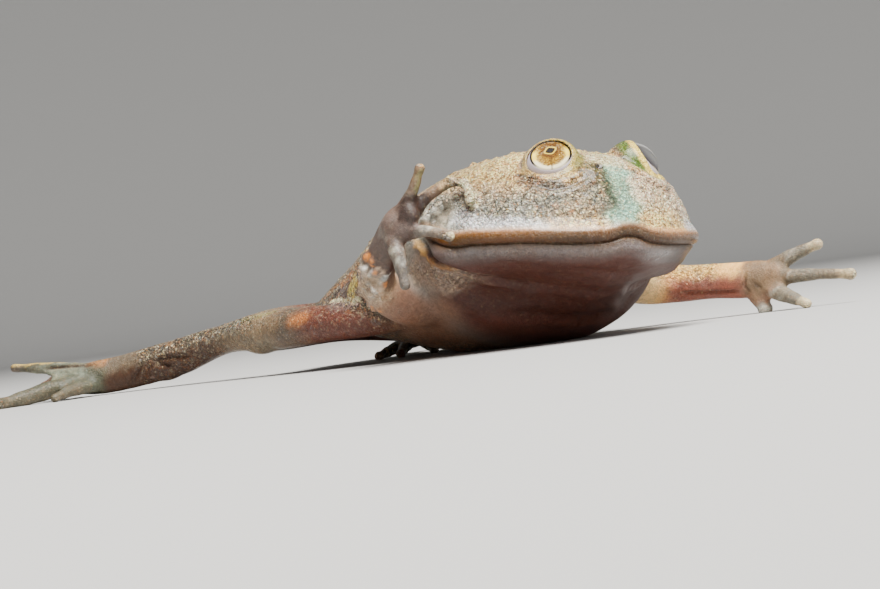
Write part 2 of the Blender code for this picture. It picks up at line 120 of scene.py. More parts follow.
# Distances from the eye's centre over which the lids' paint and the socket's black fade out.
LID_FADE = (5.3, 6.2)
LID_STRIP_REACH = 5.9
SOCKET_FADE = (4.45, 4.58)
SOCKET_RADIUS = 4.6
IRIS_RADIUS = 3.45
IRIS_DEPTH = 0.3
CORNEA_GAP = 0.05
CORNEA_ROOT = 0.5
CORNEA_OVERLAP = 1.04
CORNEA_TAPER = 0.97
EYE_SIDES = 96
EYE_RINGS = 30

# Limbs: x, y, z, half width and half height at each station, in the pose.
LEFT_ARM = (
    (18, -3, 12, 5.4, 5.4), (26, -3.5, 8.6, 4.4, 4.4), (31.8, -6.2, 7.2, 3.3, 3.5),
    (35.6, -11.6, 6.8, 2.8, 3.2), (38.6, -17.0, 6.3, 2.6, 3.3), (40.6, -20.4, 6.2, 2.2, 3.3),
    (42.2, -23.2, 6.0, 1.8, 2.6),
)
RIGHT_ARM = (
    (-15, -3, 10, 5.0, 5.0), (-23.5, -5.5, 10.4, 4.2, 4.2), (-29.2, -6.6, 13.6, 3.5, 3.4),
    (-30.6, -10.6, 17.4, 3.0, 2.6), (-30.6, -14.0, 20.6, 2.9, 2.2), (-29.8, -17.0, 23.2, 3.4, 2.0),
    (-28.4, -19.6, 25.4, 2.6, 1.6),
)
RIGHT_LEG = (
    (-4, 29, 8.5, 7.5, 6.0), (-18, 32.5, 8.5, 5.2, 4.0), (-31.2, 33.7, 8.4, 4.2, 4.0),
    (-35.6, 46.9, 7.9, 3.2, 2.8), (-40.3, 59.4, 5.6, 3.0, 3.5), (-44.2, 66.0, 4.6, 2.7, 3.5),
    (-48.3, 71.6, 3.8, 2.5, 3.4), (-51.8, 74.8, 3.5, 2.5, 3.3), (-55.0, 77.4, 3.2, 2.2, 2.6),
)
LEFT_THIGH = ((4, 27, 8.5, 7.5, 6.0), (18, 35, 9.4, 5.6, 4.8), (33.5, 41, 10.0, 4.0, 3.9))
LEFT_SHANK = ((33.5, 41, 10.0, 3.7, 3.6), (21, 51.5, 8.6, 3.4, 3.1), (8.5, 60.5, 5.4, 2.8, 2.8))
LEFT_TARSUS = (
    (9.5, 60.0, 3.4, 2.6, 2.4), (7.4, 55.2, 3.2, 2.5, 2.2), (5.2, 50.4, 3.2, 2.7, 2.1),
    (3.6, 46.6, 3.3, 2.8, 1.9), (2.4, 43.2, 3.2, 2.3, 1.5),
)
# The fold of skin between the right arm's root and the right thigh.
GROIN_FOLD = (
    (-18.5, 3.5, 8.2, 3.2, 2.8), (-24.2, 8.5, 8.3, 3.8, 3.2), (-28.0, 17.0, 8.4, 4.1, 3.3),
    (-30.4, 26.0, 8.4, 4.0, 3.6), (-31.4, 32.0, 8.4, 3.9, 3.7),
)
SKYWARD = (0, 0, 1)
OUTWARD = (-1, 0, 0)

# Fingers and toes: x, y, z and half thickness at each station.
DIGITS = {
    "left_hand": (
        ((41.6, -21.2, 7.4, 1.7), (45.2, -24.8, 9.6, 1.25), (48.2, -28.2, 11.0, 0.95)),
        ((41.8, -22.2, 6.0, 1.7), (46.2, -29.6, 5.7, 1.0), (49.6, -35.0, 5.0, 1.0)),
        ((40.8, -21.4, 4.4, 1.7), (41.6, -26.2, 2.6, 1.3), (42.2, -31.0, 0.8, 0.85)),
        ((39.6, -18.8, 4.8, 2.0), (40.0, -20.0, 2.6, 1.6), (40.3, -20.8, 0.8, 1.3)),
    ),
    "right_hand": (
        ((-29.4, -17.4, 24.6, 1.7), (-27.6, -20.0, 28.6, 1.0), (-26.4, -21.6, 32.4, 0.85)),
        ((-28.0, -18.4, 24.6, 1.7), (-24.6, -19.6, 27.6, 1.05), (-20.9, -21.6, 29.5, 0.85),
         (-19.3, -24.0, 28.7, 0.8), (-20.3, -26.7, 25.9, 0.85)),
        ((-29.2, -18.0, 22.0, 1.5), (-27.2, -23.0, 21.7, 0.95), (-25.3, -26.9, 20.3, 0.85)),
        ((-30.6, -16.4, 21.6, 1.7), (-31.4, -19.4, 18.0, 1.3), (-31.6, -20.8, 13.2, 0.85)),
    ),
    "right_foot": (
        ((-51.6, 76.0, 3.4, 1.5), (-52.4, 81.0, 2.6, 1.2), (-52.6, 85.4, 1.2, 0.8)),
        ((-53.0, 76.2, 4.4, 1.5), (-55.6, 84.0, 4.6, 1.2), (-57.6, 91.0, 3.0, 0.8)),
        ((-53.4, 75.8, 5.0, 1.5), (-58.6, 82.4, 6.4, 1.2), (-63.8, 89.0, 7.4, 0.8)),
        ((-54.0, 75.4, 3.2, 1.8), (-61.0, 76.8, 2.4, 1.7), (-67.0, 77.2, 1.4, 1.5), (-72.2, 76.2, 1.0, 1.1)),
        ((-52.8, 74.0, 2.2, 1.5), (-58.4, 72.4, 1.8, 1.2), (-63.0, 70.2, 0.8, 0.8)),
    ),
    "left_foot": (
        ((0.8, 43.0, 3.0, 1.3), (-4.6, 40.2, 1.6, 1.1), (-9.0, 37.6, 0.7, 0.85)),
        ((1.2, 41.8, 3.2, 1.4), (-3.4, 37.0, 1.9, 1.15), (-6.9, 32.6, 0.7, 0.85)),
        ((2.0, 41.2, 3.3, 1.5), (0.4, 35.6, 2.1, 1.2), (-0.8, 30.4, 0.7, 0.85)),
        ((3.0, 41.2, 3.3, 1.5), (4.4, 36.2, 2.1, 1.25), (5.0, 31.0, 0.7, 0.85)),
        ((3.8, 42.2, 3.0, 1.4), (8.2, 39.6, 1.7, 1.1), (11.4, 36.6, 0.7, 0.85)),
    ),
}
WEBBED = {"right_foot": 0.62, "left_foot": 0.62, "right_hand": 0.22, "left_hand": 0.2}
WEB_THICKNESS = 0.8

# Folds of the head in (x, distance behind the snout, level height), drawn on the right and mirrored:
# width, depth, height of the raised skin beside them, and route.
HEAD_FOLDS = (
    (0.75, 1.0, 0.35, (
        (-23.6, 30.5, 17.2), (-23.6, 28.1, 15.6), (-23.8, 25.4, 14.0), (-23.3, 24.3, 12.8),
        (-22.3, 22.5, 11.9), (-21.0, 21.2, 10.7), (-19.2, 19.6, 9.7), (-17.1, 17.8, 9.2),
        (-15.8, 16.6, 9.0), (-14.2, 15.6, 8.8),
    )),
    (0.6, 0.4, 0.25, (
        (-13.2, 12.2, 27.6), (-13.9, 10.0, 26.4), (-13.5, 8.0, 25.5), (-12.2, 5.8, 24.7),
        (-10.7, 4.5, 24.4), (-7.8, 3.6, 25.2), (-5.2, 3.9, 26.6),
    )),
)
THROAT_FOLDS = (
    (0.9, 0.3, 0.15, ((-16, 12.5, 11.2), (-9, 6.6, 10.2), (0, 4.6, 10.2), (9, 6.6, 10.2), (16, 12.5, 11.2))),
    (1.2, 0.35, 0.2, ((-14, 15.5, 8.4), (-8, 11.2, 7.0), (0, 9.8, 6.8), (8, 11.2, 7.0), (14, 15.5, 8.4))),
    (1.4, 0.4, 0.2, ((-13, 23.5, 4.4), (-7, 19.5, 3.2), (0, 18.0, 2.8), (7, 19.5, 3.2), (13, 23.5, 4.4))),
)
# Folds of the limbs in the pose, the same way.
LIMB_FOLDS = (
    (0.28, 0.5, 0.12, ((30.6, -9.2, 5.2), (31.5, -9.9, 5.3), (34.0, -13.2, 4.9), (36.8, -18.1, 4.5))),
    (0.25, 0.4, 0.15, ((37.9, -19.9, 7.2), (37.5, -19.9, 6.5), (37.2, -19.5, 5.5), (37.9, -19.9, 4.0))),
    (0.25, 0.3, 0.1, ((38.0, -20.6, 6.0), (38.6, -21.2, 5.4), (39.3, -21.8, 4.4))),
    (0.42, 0.5, 0.15, (
        (-41.0, 53.4, 5.5), (-42.0, 55.6, 5.7), (-44.0, 60.7, 5.7), (-44.2, 61.6, 5.0), (-42.6, 57.8, 3.9),
    )),
    (0.42, 0.5, 0.15, ((-45.2, 62.4, 5.6), (-45.7, 63.3, 4.5), (-45.9, 65.0, 2.8), (-45.7, 65.8, 1.5))),
    (0.42, 0.5, 0.15, ((-46.6, 64.5, 5.2), (-46.7, 64.9, 4.5), (-47.4, 66.9, 2.8), (-47.7, 68.8, 1.1))),
    (0.42, 0.5, 0.15, ((-52.9, 73.8, 6.1), (-56.0, 77.6, 6.4), (-60.1, 82.4, 6.5))),
)

# How finely the clay is fused and how its joins are filled.
VOXEL = 0.36
EVEN_ROUNDS = 8
REBOUND = 0.53
FILLET_ROUNDS = 60
# Parts of the mesh that are not thinned: the face, and what lies this near to hand, elbow and folds.
FACE_DEPTH = 30.0
FACE_FLOOR = 5.5
FINE_HAND = 7.0
FINE_ELBOW = 4.5
FINE_FOLD = 0.9
# A value that stands for nowhere near.
FAR = 99.0

# Small domes: place, radius, height. The head's are in head places and mirrored.
CHEEK_WARTS = (
    ((-22.9, 28.6, 19.9), 1.5, 0.5), ((-23.7, 24.6, 18.8), 1.3, 0.45), ((-23.1, 22.7, 19.4), 1.0, 0.4),
    ((-22.4, 25.5, 20.9), 1.3, 0.45), ((-23.4, 26.6, 19.6), 0.9, 0.35), ((-22.2, 28.0, 22.4), 1.1, 0.35),
    ((-21.6, 22.6, 21.9), 1.0, 0.3), ((-20.8, 25.6, 23.9), 1.2, 0.3), ((-23.2, 20.9, 13.7), 3.2, 0.8),
    ((-22.3, 18.9, 12.9), 2.2, 0.35), ((-13.8, 14.9, 28.6), 1.0, 0.25), ((-16.2, 12.4, 26.0), 0.9, 0.22),
)
CHEEK_BEADS = 34
ELBOW_BEADS = 34
ELBOW_TONES = ("orange", "white", "knob", "blue_grey", "pink", "gold")
HEAD_SWELLS = (((-11.5, 17.5, 31.0), 7.0, 0.9), ((-15.5, 22.0, 29.5), 6.0, 0.5))
NOSTRILS = (((-2.6, 4.2, 28.3), 0.75, 0.6),)
LIMB_BUMPS = (
    ((-31.5, -17.3, 24.2), 2.6, 0.6), ((-33.1, -10.4, 19.0), 1.3, 0.8), ((-32.9, -12.6, 18.0), 1.2, 0.72),
    ((-33.2, -10.0, 16.7), 1.4, 0.88), ((-32.4, -12.0, 15.8), 1.2, 0.8), ((-31.2, -12.6, 14.6), 1.2, 0.88),
    ((-31.4, -10.6, 13.8), 1.3, 0.96), ((-32.0, -8.6, 12.8), 1.3, 0.8), ((-30.0, -10.4, 12.4), 1.2, 0.5),
    ((-30.6, -13.2, 16.2), 1.1, 0.45), ((-32.4, -7.8, 14.8), 1.4, 0.72), ((-31.4, -5.4, 13.0), 1.2, 0.56),
    ((27.4, -6.7, 9.2), 1.6, 0.35), ((30.4, -8.0, 9.4), 1.5, 0.35), ((28.8, -8.4, 6.4), 1.2, 0.25),
    ((-31.6, 30.6, 9.8), 1.9, 0.45), ((-33.6, 33.4, 10.4), 1.4, 0.3), ((-32.9, 37.5, 4.8), 3.8, 0.6),
    ((-42.4, 62.0, 2.6), 3.2, 0.35),
)

# Routes along the hands, the right leg and the feet, in the pose, and over the head, in head places.
HAND_KEPT = ((-29.5, -17.0, 23.5), (-18.0, -21.0, 29.8), (-24.0, -27.8, 20.6), (-29.0, -18.5, 21.0))
ELBOW_KEPT = ((-33.0, -10.5, 18.5), (-31.5, -11.0, 13.0))
THIGH_LINE = ((-14.0, 31.0, 8.5), (-29.0, 33.6, 8.4))
HAND_LINE = ((-31.6, -20.6, 13.5), (-30.0, -14.5, 21.0), (-28.4, -20.0, 25.6))
LEFT_HAND_LINE = ((40.4, -20.0, 6.2), (46.4, -29.0, 6.0))
FOOT_LINE = ((-53, 75, 4), (-62, 80, 4))
LEFT_ARM_ROOT = ((18.0, -3.0, 12.0), (26.0, -3.5, 8.6), (31.8, -6.2, 7.2))
CHEST_LINE = ((-24.5, -8.0, 8.0), (-21.0, -11.0, 7.0), (-19.0, 2.0, 4.0))
WRINKLE_LINE = ((-22.9, 30.0, 10.6), (-21.5, 26.0, 9.2), (-19.6, 21.4, 7.6))
BAND_LINE = (
    (-22, 17.8, 19.8), (-21, 12.5, 18.7), (-19.4, 8.8, 18.2), (-17, 6.3, 18.4), (-14.9, 3.4, 17.6),
)
MINT_LINE = ((0.4, 3.3, 27.3), (0.2, 1.8, 24.4), (0.8, 1.1, 22.2), (-1.0, 0.5, 20.4))

# The skin's colours, as light that the surface gives back. Some are painted light or shade: the throat's,
# the slit's, the creases' and the hollows' colours and the shade are painted shade, the blush is partly
# painted bounce light, and the band is partly a painted highlight.
TONES = {
    "cheek": (0.4, 0.4, 0.35), "flank": (0.09, 0.068, 0.048), "shaded_throat": (0.06, 0.018, 0.012),
    "slit_shade": (0.04, 0.015, 0.001), "mint": (0.26, 0.52, 0.4), "sage": (0.035, 0.055, 0.018),
    "pink": (0.95, 0.7, 0.5), "orange": (0.78, 0.28, 0.05), "ochre": (0.30, 0.13, 0.03),
    "gold": (0.86, 0.50, 0.15), "yellow": (0.85, 0.60, 0.13), "cream": (0.9, 0.76, 0.46),
    "white": (0.9, 0.88, 0.84), "pale_band_sheen": (0.97, 0.96, 0.98), "lilac": (0.23, 0.16, 0.15),
    "blue_grey": (0.30, 0.33, 0.33), "plum": (0.04, 0.007, 0.003), "rose": (0.29, 0.105, 0.072),
    "blush_and_bounce_light": (0.24, 0.08, 0.055), "thigh": (0.105, 0.026, 0.015), "palm": (0.09, 0.05, 0.042),
    "chest": (0.22, 0.115, 0.075), "brown": (0.05, 0.02, 0.009), "dark": (0.038, 0.03, 0.022),
    "olive": (0.22, 0.21, 0.08), "bone": (0.11, 0.088, 0.057), "hand": (0.175, 0.12, 0.065),
    "grey": (0.16, 0.14, 0.1), "knob": (0.54, 0.36, 0.22), "wrinkle": (0.3, 0.23, 0.185),
    "web": (0.15, 0.17, 0.125), "toe": (0.06, 0.065, 0.042), "hollow_shade": (0.012, 0.009, 0.007),
    "finger": (0.068, 0.046, 0.036), "mid": (0.25, 0.26, 0.22), "shade": (0.022, 0.01, 0.007),
    "lid": (0.16, 0.12, 0.1), "lid_olive": (0.24, 0.22, 0.05),
    "lid_green": (0.08, 0.14, 0.015), "lid_edge": (0.8, 0.58, 0.12), "crease_shade": (0.045, 0.022, 0.014),
}
# The lips' colours at heights over the mouth's line, partly their own and partly painted light and shade:
# painted shade in the slit and down into the chin, painted light on the lower lip's top edge.
LIP_TONES = (
    (-3.6, 0.068, 0.023, 0.016), (-2.7, 0.07, 0.034, 0.028), (-2.0, 0.095, 0.066, 0.06),
    (-1.3, 0.14, 0.108, 0.105), (-0.7, 0.11, 0.078, 0.062), (-0.2, 0.045, 0.018, 0.002),
    (0.15, 0.038, 0.012, 0.001), (0.6, 0.05, 0.018, 0.001), (1.2, 0.055, 0.024, 0.004),
    (1.9, 0.12, 0.056, 0.02), (2.8, 0.44, 0.25, 0.13),
)
# Markings: colour, strength, reach, soft margin and route. The head's are drawn on the right and
# mirrored, the snout's and the right mouth corner's are on one side only, and the body's in the pose.
HEAD_MARKS = (
    # The pale band over the lip, whitened further as a painted highlight on the wet skin.
    ("pale_band_sheen", 0.9, 0.8, 1.5, BAND_LINE),
    ("grey", 0.4, 2.5, 3.0, ((-18.5, 12, 22.5), (-20.5, 19, 23), (-22.5, 26, 21))),
    ("pink", 0.4, 0.5, 0.8, ((-14.6, 10.4, 25.2), (-12.6, 6.2, 23.9), (-10.6, 4.6, 23.6))),
    ("lid", 0.85, 1.0, 1.1, (
        (-13.9, 10.0, 26.4), (-13.5, 8.0, 25.5), (-12.2, 5.8, 24.7), (-10.7, 4.5, 24.4),
    )),
    ("brown", 0.7, 0.25, 0.4, ((-13.8, 11.2, 27.0),)),
    ("brown", 0.7, 0.25, 0.4, ((-15.0, 10.5, 25.8),)),
    ("brown", 0.6, 0.2, 0.4, ((-15.9, 10.5, 24.9),)),
    ("brown", 0.7, 0.3, 0.4, ((-14.1, 12.4, 27.2),)),
    ("white", 0.7, 0.6, 0.6, ((-22.9, 28.6, 19.9),)),
    ("white", 0.7, 0.5, 0.6, ((-23.7, 24.6, 18.8),)),
    ("white", 0.6, 0.4, 0.5, ((-22.4, 25.5, 20.9),)),
)
SNOUT_MARKS = (
    ("mint", 0.95, 2.3, 2.2, MINT_LINE),
    ("cream", 0.8, 1.6, 2.0, ((-2.0, 6.5, 30.0), (2.0, 6.0, 29.8))),
    ("sage", 0.9, 1.4, 2.0, ((-4.8, 4.4, 27.6), (-4.2, 2.9, 25.9), (-3.8, 2.0, 24.2), (-3.4, 1.5, 22.6))),
    ("pink", 0.85, 2.2, 2.6, ((5.4, 2.4, 24.5), (8.4, 3.8, 24.2), (12.5, 6.4, 23.2), (15.5, 9.0, 22.0))),
    ("orange", 0.35, 1.0, 1.6, ((4.8, 4.6, 28.2), (6.6, 6.0, 28.8))),
    ("mid", 0.85, 2.2, 2.6, ((-6.0, 2.6, 22.0), (-12.0, 5.6, 21.6))),
    ("wrinkle", 0.75, 2.2, 2.2, WRINKLE_LINE + ((-17.4, 18.6, 6.6),)),
    ("ochre", 0.75, 0.5, 0.9, (
        (-23.6, 27.6, 13.6), (-23.0, 26.2, 12.2), (-22.0, 23.4, 10.9), (-20.0, 20.6, 9.6),
    )),
    ("gold", 0.8, 0.4, 0.8, ((-23.9, 30.5, 15.8), (-23.8, 28.6, 14.6), (-23.7, 27.6, 13.6))),
)
# Limbs: stations, the way that their upper side faces, how granular their upper and under sides are,
# and their markings: colour, strength, side, first and last station.
LIMBS = (
    (LEFT_ARM, SKYWARD, 0.6, 0.1, (
        ("rose", 0.9, "all", -1.0, 7.0), ("gold", 0.9, "top", 0.2, 4.4), ("gold", 0.75, "all", -1.0, 1.6),
        ("cream", 0.5, "all", -1.0, 1.2), ("blush_and_bounce_light", 0.9, "low", 1.6, 4.2), ("hand", 0.9, "all", 4.2, 7.0),
    )),
    # The right forearm's dark plum is partly its own colour and partly painted shade on its inner side.
    (RIGHT_ARM, OUTWARD, 0.3, 0.1, (
        ("chest", 0.9, "all", -1.0, 1.9), ("knob", 0.6, "all", 1.7, 2.9), ("plum", 0.8, "low", 2.2, 5.2),
        ("plum", 0.85, "all", 2.9, 4.6), ("palm", 0.9, "all", 4.5, 7.0),
    )),
    # The right leg's dark brown on its under side is painted shade.
    (RIGHT_LEG, SKYWARD, 0.9, 0.2, (
        ("thigh", 0.95, "all", -1.0, 1.9), ("grey", 0.9, "all", 1.8, 9.0), ("hand", 0.6, "low", 2.0, 4.4),
        ("brown", 0.95, "low", 3.0, 9.0), ("brown", 0.4, "all", 2.9, 7.4), ("toe", 0.8, "all", 7.6, 9.0),
    )),
    (GROIN_FOLD, SKYWARD, 0.15, 0.1, (("thigh", 0.9, "all", -1, 2.5),)),
    (LEFT_THIGH, SKYWARD, 0.6, 0.1, (("grey", 0.8, "top", -1, 3), ("thigh", 0.8, "low", -1, 3))),
    (LEFT_SHANK, SKYWARD, 0.6, 0.1, (("grey", 0.85, "all", -1, 3), ("brown", 0.5, "low", -1, 3))),
    (LEFT_TARSUS, SKYWARD, 0.3, 0.1, (("bone", 0.85, "all", -1, 5),)),
)
BODY_MARKS = (
    ("plum", 0.5, 2.4, 3.0, ((-26.7, 5.6, 15.2), (-26.6, 14.0, 12.0))),
    ("lilac", 0.6, 1.6, 2.0, ((-26.9, 8.0, 13.4), (-26.8, 14.0, 11.8))),
    ("ochre", 0.85, 0.35, 0.5, (
        (-25.9, 5.0, 19.0), (-26.2, 10.6, 16.9), (-25.6, 18.0, 14.6), (-25.0, 25.0, 12.6),
    )),
    ("orange", 0.5, 0.5, 0.5, ((-26.2, 9.0, 16.4), (-26.0, 14.0, 15.0))),
    ("yellow", 0.95, 0.8, 0.7, ((-26.9, 7.4, 15.2), (-27.0, 8.6, 14.2), (-27.0, 9.4, 12.8))),
    # A painted highlight: a pale line along the top edge of the fold before the right thigh.
    ("cream", 0.9, 0.3, 0.45, ((-26.6, 7.4, 11.9), (-27.0, 12.2, 12.1), (-26.9, 18.0, 12.1))),
    ("orange", 0.35, 0.1, 2.2, ((-32.3, 19.2, 9.9), (-33.0, 22.4, 9.6))),
    ("hand", 0.6, 1.6, 2.0, ((-34.0, 29.0, 9.4), (-35.8, 35.4, 10.0))),
    ("olive", 0.6, 0.3, 0.7, ((-32.6, 30.8, 11.6), (-34.6, 33.6, 11.4), (-36.0, 38.0, 10.8))),
    ("orange", 0.8, 0.6, 0.5, ((-32.8, -11.0, 18.8), (-32.9, -12.6, 18.0))),
    ("white", 0.7, 0.5, 0.5, ((-33.2, -10.0, 16.7),)),
    ("orange", 0.7, 0.4, 0.5, ((-32.4, -12.0, 15.8),)),
    ("blue_grey", 0.75, 0.6, 0.6, ((-31.2, -12.6, 14.6),)),
    ("white", 0.75, 0.5, 0.6, ((-31.4, -10.6, 13.8), (-32.0, -8.6, 12.8))),
    ("orange", 0.6, 0.3, 0.5, ((-30.2, -9.0, 12.2),)),
    ("lilac", 0.7, 0.8, 0.8, ((-32.4, -7.4, 15.6),)),
    ("cream", 0.35, 0.4, 1.2, ((-26.5, -21.5, 32.4), (-26.4, -21.6, 33.2))),
    ("finger", 0.9, 1.2, 1.0, ((-28.0, -19.6, 27.4), (-26.6, -21.4, 32.0))),
    ("olive", 0.7, 0.2, 0.5, ((-27.4, -21.0, 28.4), (-26.4, -22.4, 32.0))),
    ("plum", 0.8, 1.0, 1.2, ((-26.8, -19.6, 26.8), (-23.2, -20.0, 28.2))),
    ("shade", 0.9, 1.5, 1.2, ((-29.4, -20.8, 25.5), (-26.4, -20.8, 26.4))),
    ("bone", 0.8, 0.8, 0.7, ((-22.0, -20.6, 29.0), (-19.6, -23.4, 29.2))),
    ("cream", 1.0, 1.1, 0.5, ((-19.3, -24.2, 28.6), (-20.4, -26.8, 25.6))),
    ("finger", 0.7, 1.0, 0.8, ((-28.4, -20.4, 21.6), (-25.6, -26.4, 20.6))),
    ("cream", 0.9, 0.5, 0.5, ((-25.2, -27.4, 20.4),)),
    ("finger", 0.85, 1.4, 0.9, ((-31.0, -18.2, 20.0), (-31.6, -21.2, 12.8))),
    ("bone", 0.85, 1.4, 1.0, ((43.6, -23.2, 8.6), (48.4, -28.6, 11.0))),
    ("bone", 0.85, 1.4, 1.0, ((43.6, -25.0, 6.0), (49.8, -35.4, 5.0))),
    ("bone", 0.85, 1.4, 1.0, ((41.6, -24.6, 3.2), (42.2, -31.4, 0.8))),
    ("cream", 0.4, 0.7, 1.2, ((47.6, -28.0, 10.8), (48.6, -28.8, 11.2))),
    ("cream", 0.4, 0.7, 1.2, ((49.0, -34.0, 5.2), (50.0, -35.6, 5.0))),
    ("cream", 0.5, 0.9, 0.8, ((42.2, -30.4, 1.0), (42.3, -31.8, 0.8))),
    ("rose", 0.35, 1.3, 1.2, ((42.0, -22.4, 3.6), (40.0, -19.0, 3.4))),
    ("toe", 0.9, 5.0, 2.0, ((-54.0, 77.0, 4.0), (-62.0, 82.0, 4.0))),
    ("web", 0.95, 2.6, 2.2, ((-55.6, 78.0, 4.0), (-62.0, 82.0, 4.0))),
    ("toe", 0.9, 1.6, 1.0, ((-54.0, 73.6, 2.0), (-63.6, 70.0, 0.8))),
    ("toe", 0.9, 2.0, 1.0, ((-57.0, 76.4, 2.6), (-73.0, 76.0, 1.0))),
    ("bone", 0.9, 4.6, 1.4, ((0.0, 41.0, 2.2), (-4.0, 37.0, 1.4), (2.0, 34.0, 0.8), (6.0, 38.0, 1.4))),
    ("yellow", 0.5, 0.4, 0.6, ((-54.4, 78.0, 7.2), (-58.6, 82.4, 7.4), (-63.8, 89.0, 8.2))),
    ("olive", 0.7, 0.6, 0.8, ((-55.6, 80.4, 5.4), (-61.0, 86.0, 6.4))),
    ("orange", 0.25, 0.3, 1.6, ((-51.4, 72.6, 6.6), (-53.0, 74.6, 6.8))),
)

# Specks of the skin: which random channel, its lowest and highest chance, colour and strength.
SPECKS = (
    (0, 0.82, 1.01, "cream", 0.7), (1, 0.9, 1.01, "orange", 0.35), (2, 0.88, 1.01, "dark", 0.5),
    (0, 0.0, 0.10, "blue_grey", 0.6), (1, 0.0, 0.07, "gold", 0.6),
)
# Clouds of colour over the skin: colour, scale, turn of the pattern and strength.
PATCHES = (
    ("orange", 0.9, 0.4, 0.25), ("blue_grey", 0.9, 1.3, 0.5), ("sage", 1.0, 2.2, 0.4),
    ("rose", 0.7, 3.1, 0.2), ("cream", 1.0, 4.3, 0.35),
)
# Granules whose crowns are coloured: random channel, lowest chance, colour and strength.
CROWNS = ((0, 0.84, "cream", 0.4), (1, 0.88, "lilac", 0.35), (2, 0.9, "ochre", 0.4))

# The skin's gloss, the light that passes under its surface, and its film of water.
SKIN_GLOSS = 0.32
SKIN_DEPTH = 0.14
SKIN_DEPTH_RADIUS = (0.9, 0.35, 0.2)
SKIN_DEPTH_METRES = 0.0012
FILM_SHARE = 0.7
FILM_ROUGHNESS = 0.18
# How strongly each kind of relief shows: beads, grain and wrinkles, beside the granules' 1.
BEAD_RELIEF = 0.5
GRAIN_RELIEF = 0.35
WRINKLE_RELIEF = 0.7
# The palest colour that the skin may take, and how much the painted glints brighten it.
PALEST = (0.97, 0.97, 0.97)
GLINT = (2.3, 2.2, 2.0)

# The eyes' finish and the colours that no setting changes.
PUPIL_BLACK = (0.004, 0.003, 0.003)
LIMBUS_BLACK = (0.006, 0.005, 0.005)
PUPIL_SQUARENESS = 1.35
IRIS_ROUGHNESS = 0.6
IRIS_GLOSS = 0.06
IRIS_RELIEF = 0.4
IRIS_RELIEF_METRES = 0.00008
CORNEA_FILM = 0.6
CORNEA_FILM_BEND = 1.05
CORNEA_FILM_ROUGHNESS = 0.03

# The stage: lights in metres, and the mouth's notch from the middle of the picture in millimetres.
KEY_SIZE = 0.7
KEY_PLACE = (0.0, -0.36, 0.80)
KEY_COLOUR = (1.0, 0.97, 0.92)
LIGHT_AIM = (0.0, 0.0, 0.015)
FILL_SIZE = 0.8
FILL_PLACE = (0.7, -0.6, 0.5)
FILL_COLOUR = (0.92, 0.96, 1.0)
SKY_COLOUR = (0.93, 0.95, 1.0)
FLOOR_RINGS = 64
FLOOR_SIDES = 96
FLOOR_FLAT = 0.58
NOTCH_RIGHT = 31.3333
NOTCH_DOWN = -9.0833


def follow(profile, s):
    """Reads a profile of (station, value) pairs with a curve that never overshoots them."""
    at = np.array([p[0] for p in profile], float)
    value = np.array([p[1] for p in profile], float)
    step = np.diff(at)
    slope = np.diff(value) / step
    same = slope[1:] * slope[:-1] > 0
    total = np.where(same, slope[1:] + slope[:-1], 1)
    inner = np.where(same, 2 * slope[1:] * slope[:-1] / total, 0)
    bend = np.concatenate([slope[:1], inner, slope[-1:]])
    s = np.clip(np.asarray(s, float), at[0], at[-1])
    i = np.clip(np.searchsorted(at, s, side="right") - 1, 0, len(step) - 1)
    t = (s - at[i]) / step[i]
    return (
        value[i] * (2 * t**3 - 3 * t**2 + 1)
        + value[i + 1] * (3 * t**2 - 2 * t**3)
        + step[i] * (bend[i] * (t**3 - 2 * t**2 + t) + bend[i + 1] * (t**3 - t**2))
    )


def ease(low, high, x):
    """Rises smoothly from 0 at low to 1 at high."""
    t = np.clip((np.asarray(x, float) - low) / (high - low), 0, 1)
    return t * t * (3 - 2 * t)


def half_width(s):
    """The trunk's half width at a distance behind the snout."""
    front = np.clip((JAW_ARCH - s) / JAW_ARCH, 0, 1)
    jaw = JAW_HALF_WIDTH * (1 - front**JAW_ROUNDNESS) ** (1 / JAW_ROUNDNESS)
    body = jaw + (BODY_HALF_WIDTH - JAW_HALF_WIDTH) * ease(JAW_ARCH, BODY_WIDEST, s)
    rear = np.clip((s - BODY_WIDEST) / (BODY_LENGTH - BODY_WIDEST), 0, 1)
    return body * (1 - rear**RUMP_ROUNDNESS) ** (1 / RUMP_ROUNDNESS)


def section_power(s, above):
    """How square the trunk's section is: 1 is a wedge, 2 is round."""
    top = 2.1 - 0.1 * ease(30, 60, s)
    low = 1.2 + 0.9 * ease(8, 32, s) - 0.35 * ease(38, 52, s)
    return np.where(above, top, low)


def leaning(s):
    """The head's roll and lift at a distance behind the snout; both fade out along the chest."""
    fade = 1 - ease(NECK, CHEST, s)
    return HEAD_ROLL * fade, HEAD_LIFT * np.minimum(s, NECK) * fade


def lean(level):
    """Takes places (x, distance behind the snout, height) on the level frog to the pose."""
    level = np.asarray(level, float)
    x, s, up = level[..., 0], level[..., 1], level[..., 2] - MOUTH_Z
    roll, lift = leaning(s)
    across = x * np.cos(roll) + up * np.sin(roll)
    height = MOUTH_Z + up * np.cos(roll) - x * np.sin(roll) + lift
    return np.stack([across, s + SNOUT_Y, height], -1)


def unlean(pose):
    """Takes places in the pose back to the level frog."""
    s = pose[..., 1] - SNOUT_Y
    roll, lift = leaning(s)
    a, b = pose[..., 0], pose[..., 2] - MOUTH_Z - lift
    across = a * np.cos(roll) - b * np.sin(roll)
    height = MOUTH_Z + a * np.sin(roll) + b * np.cos(roll)
    return np.stack([across, s, height], -1)


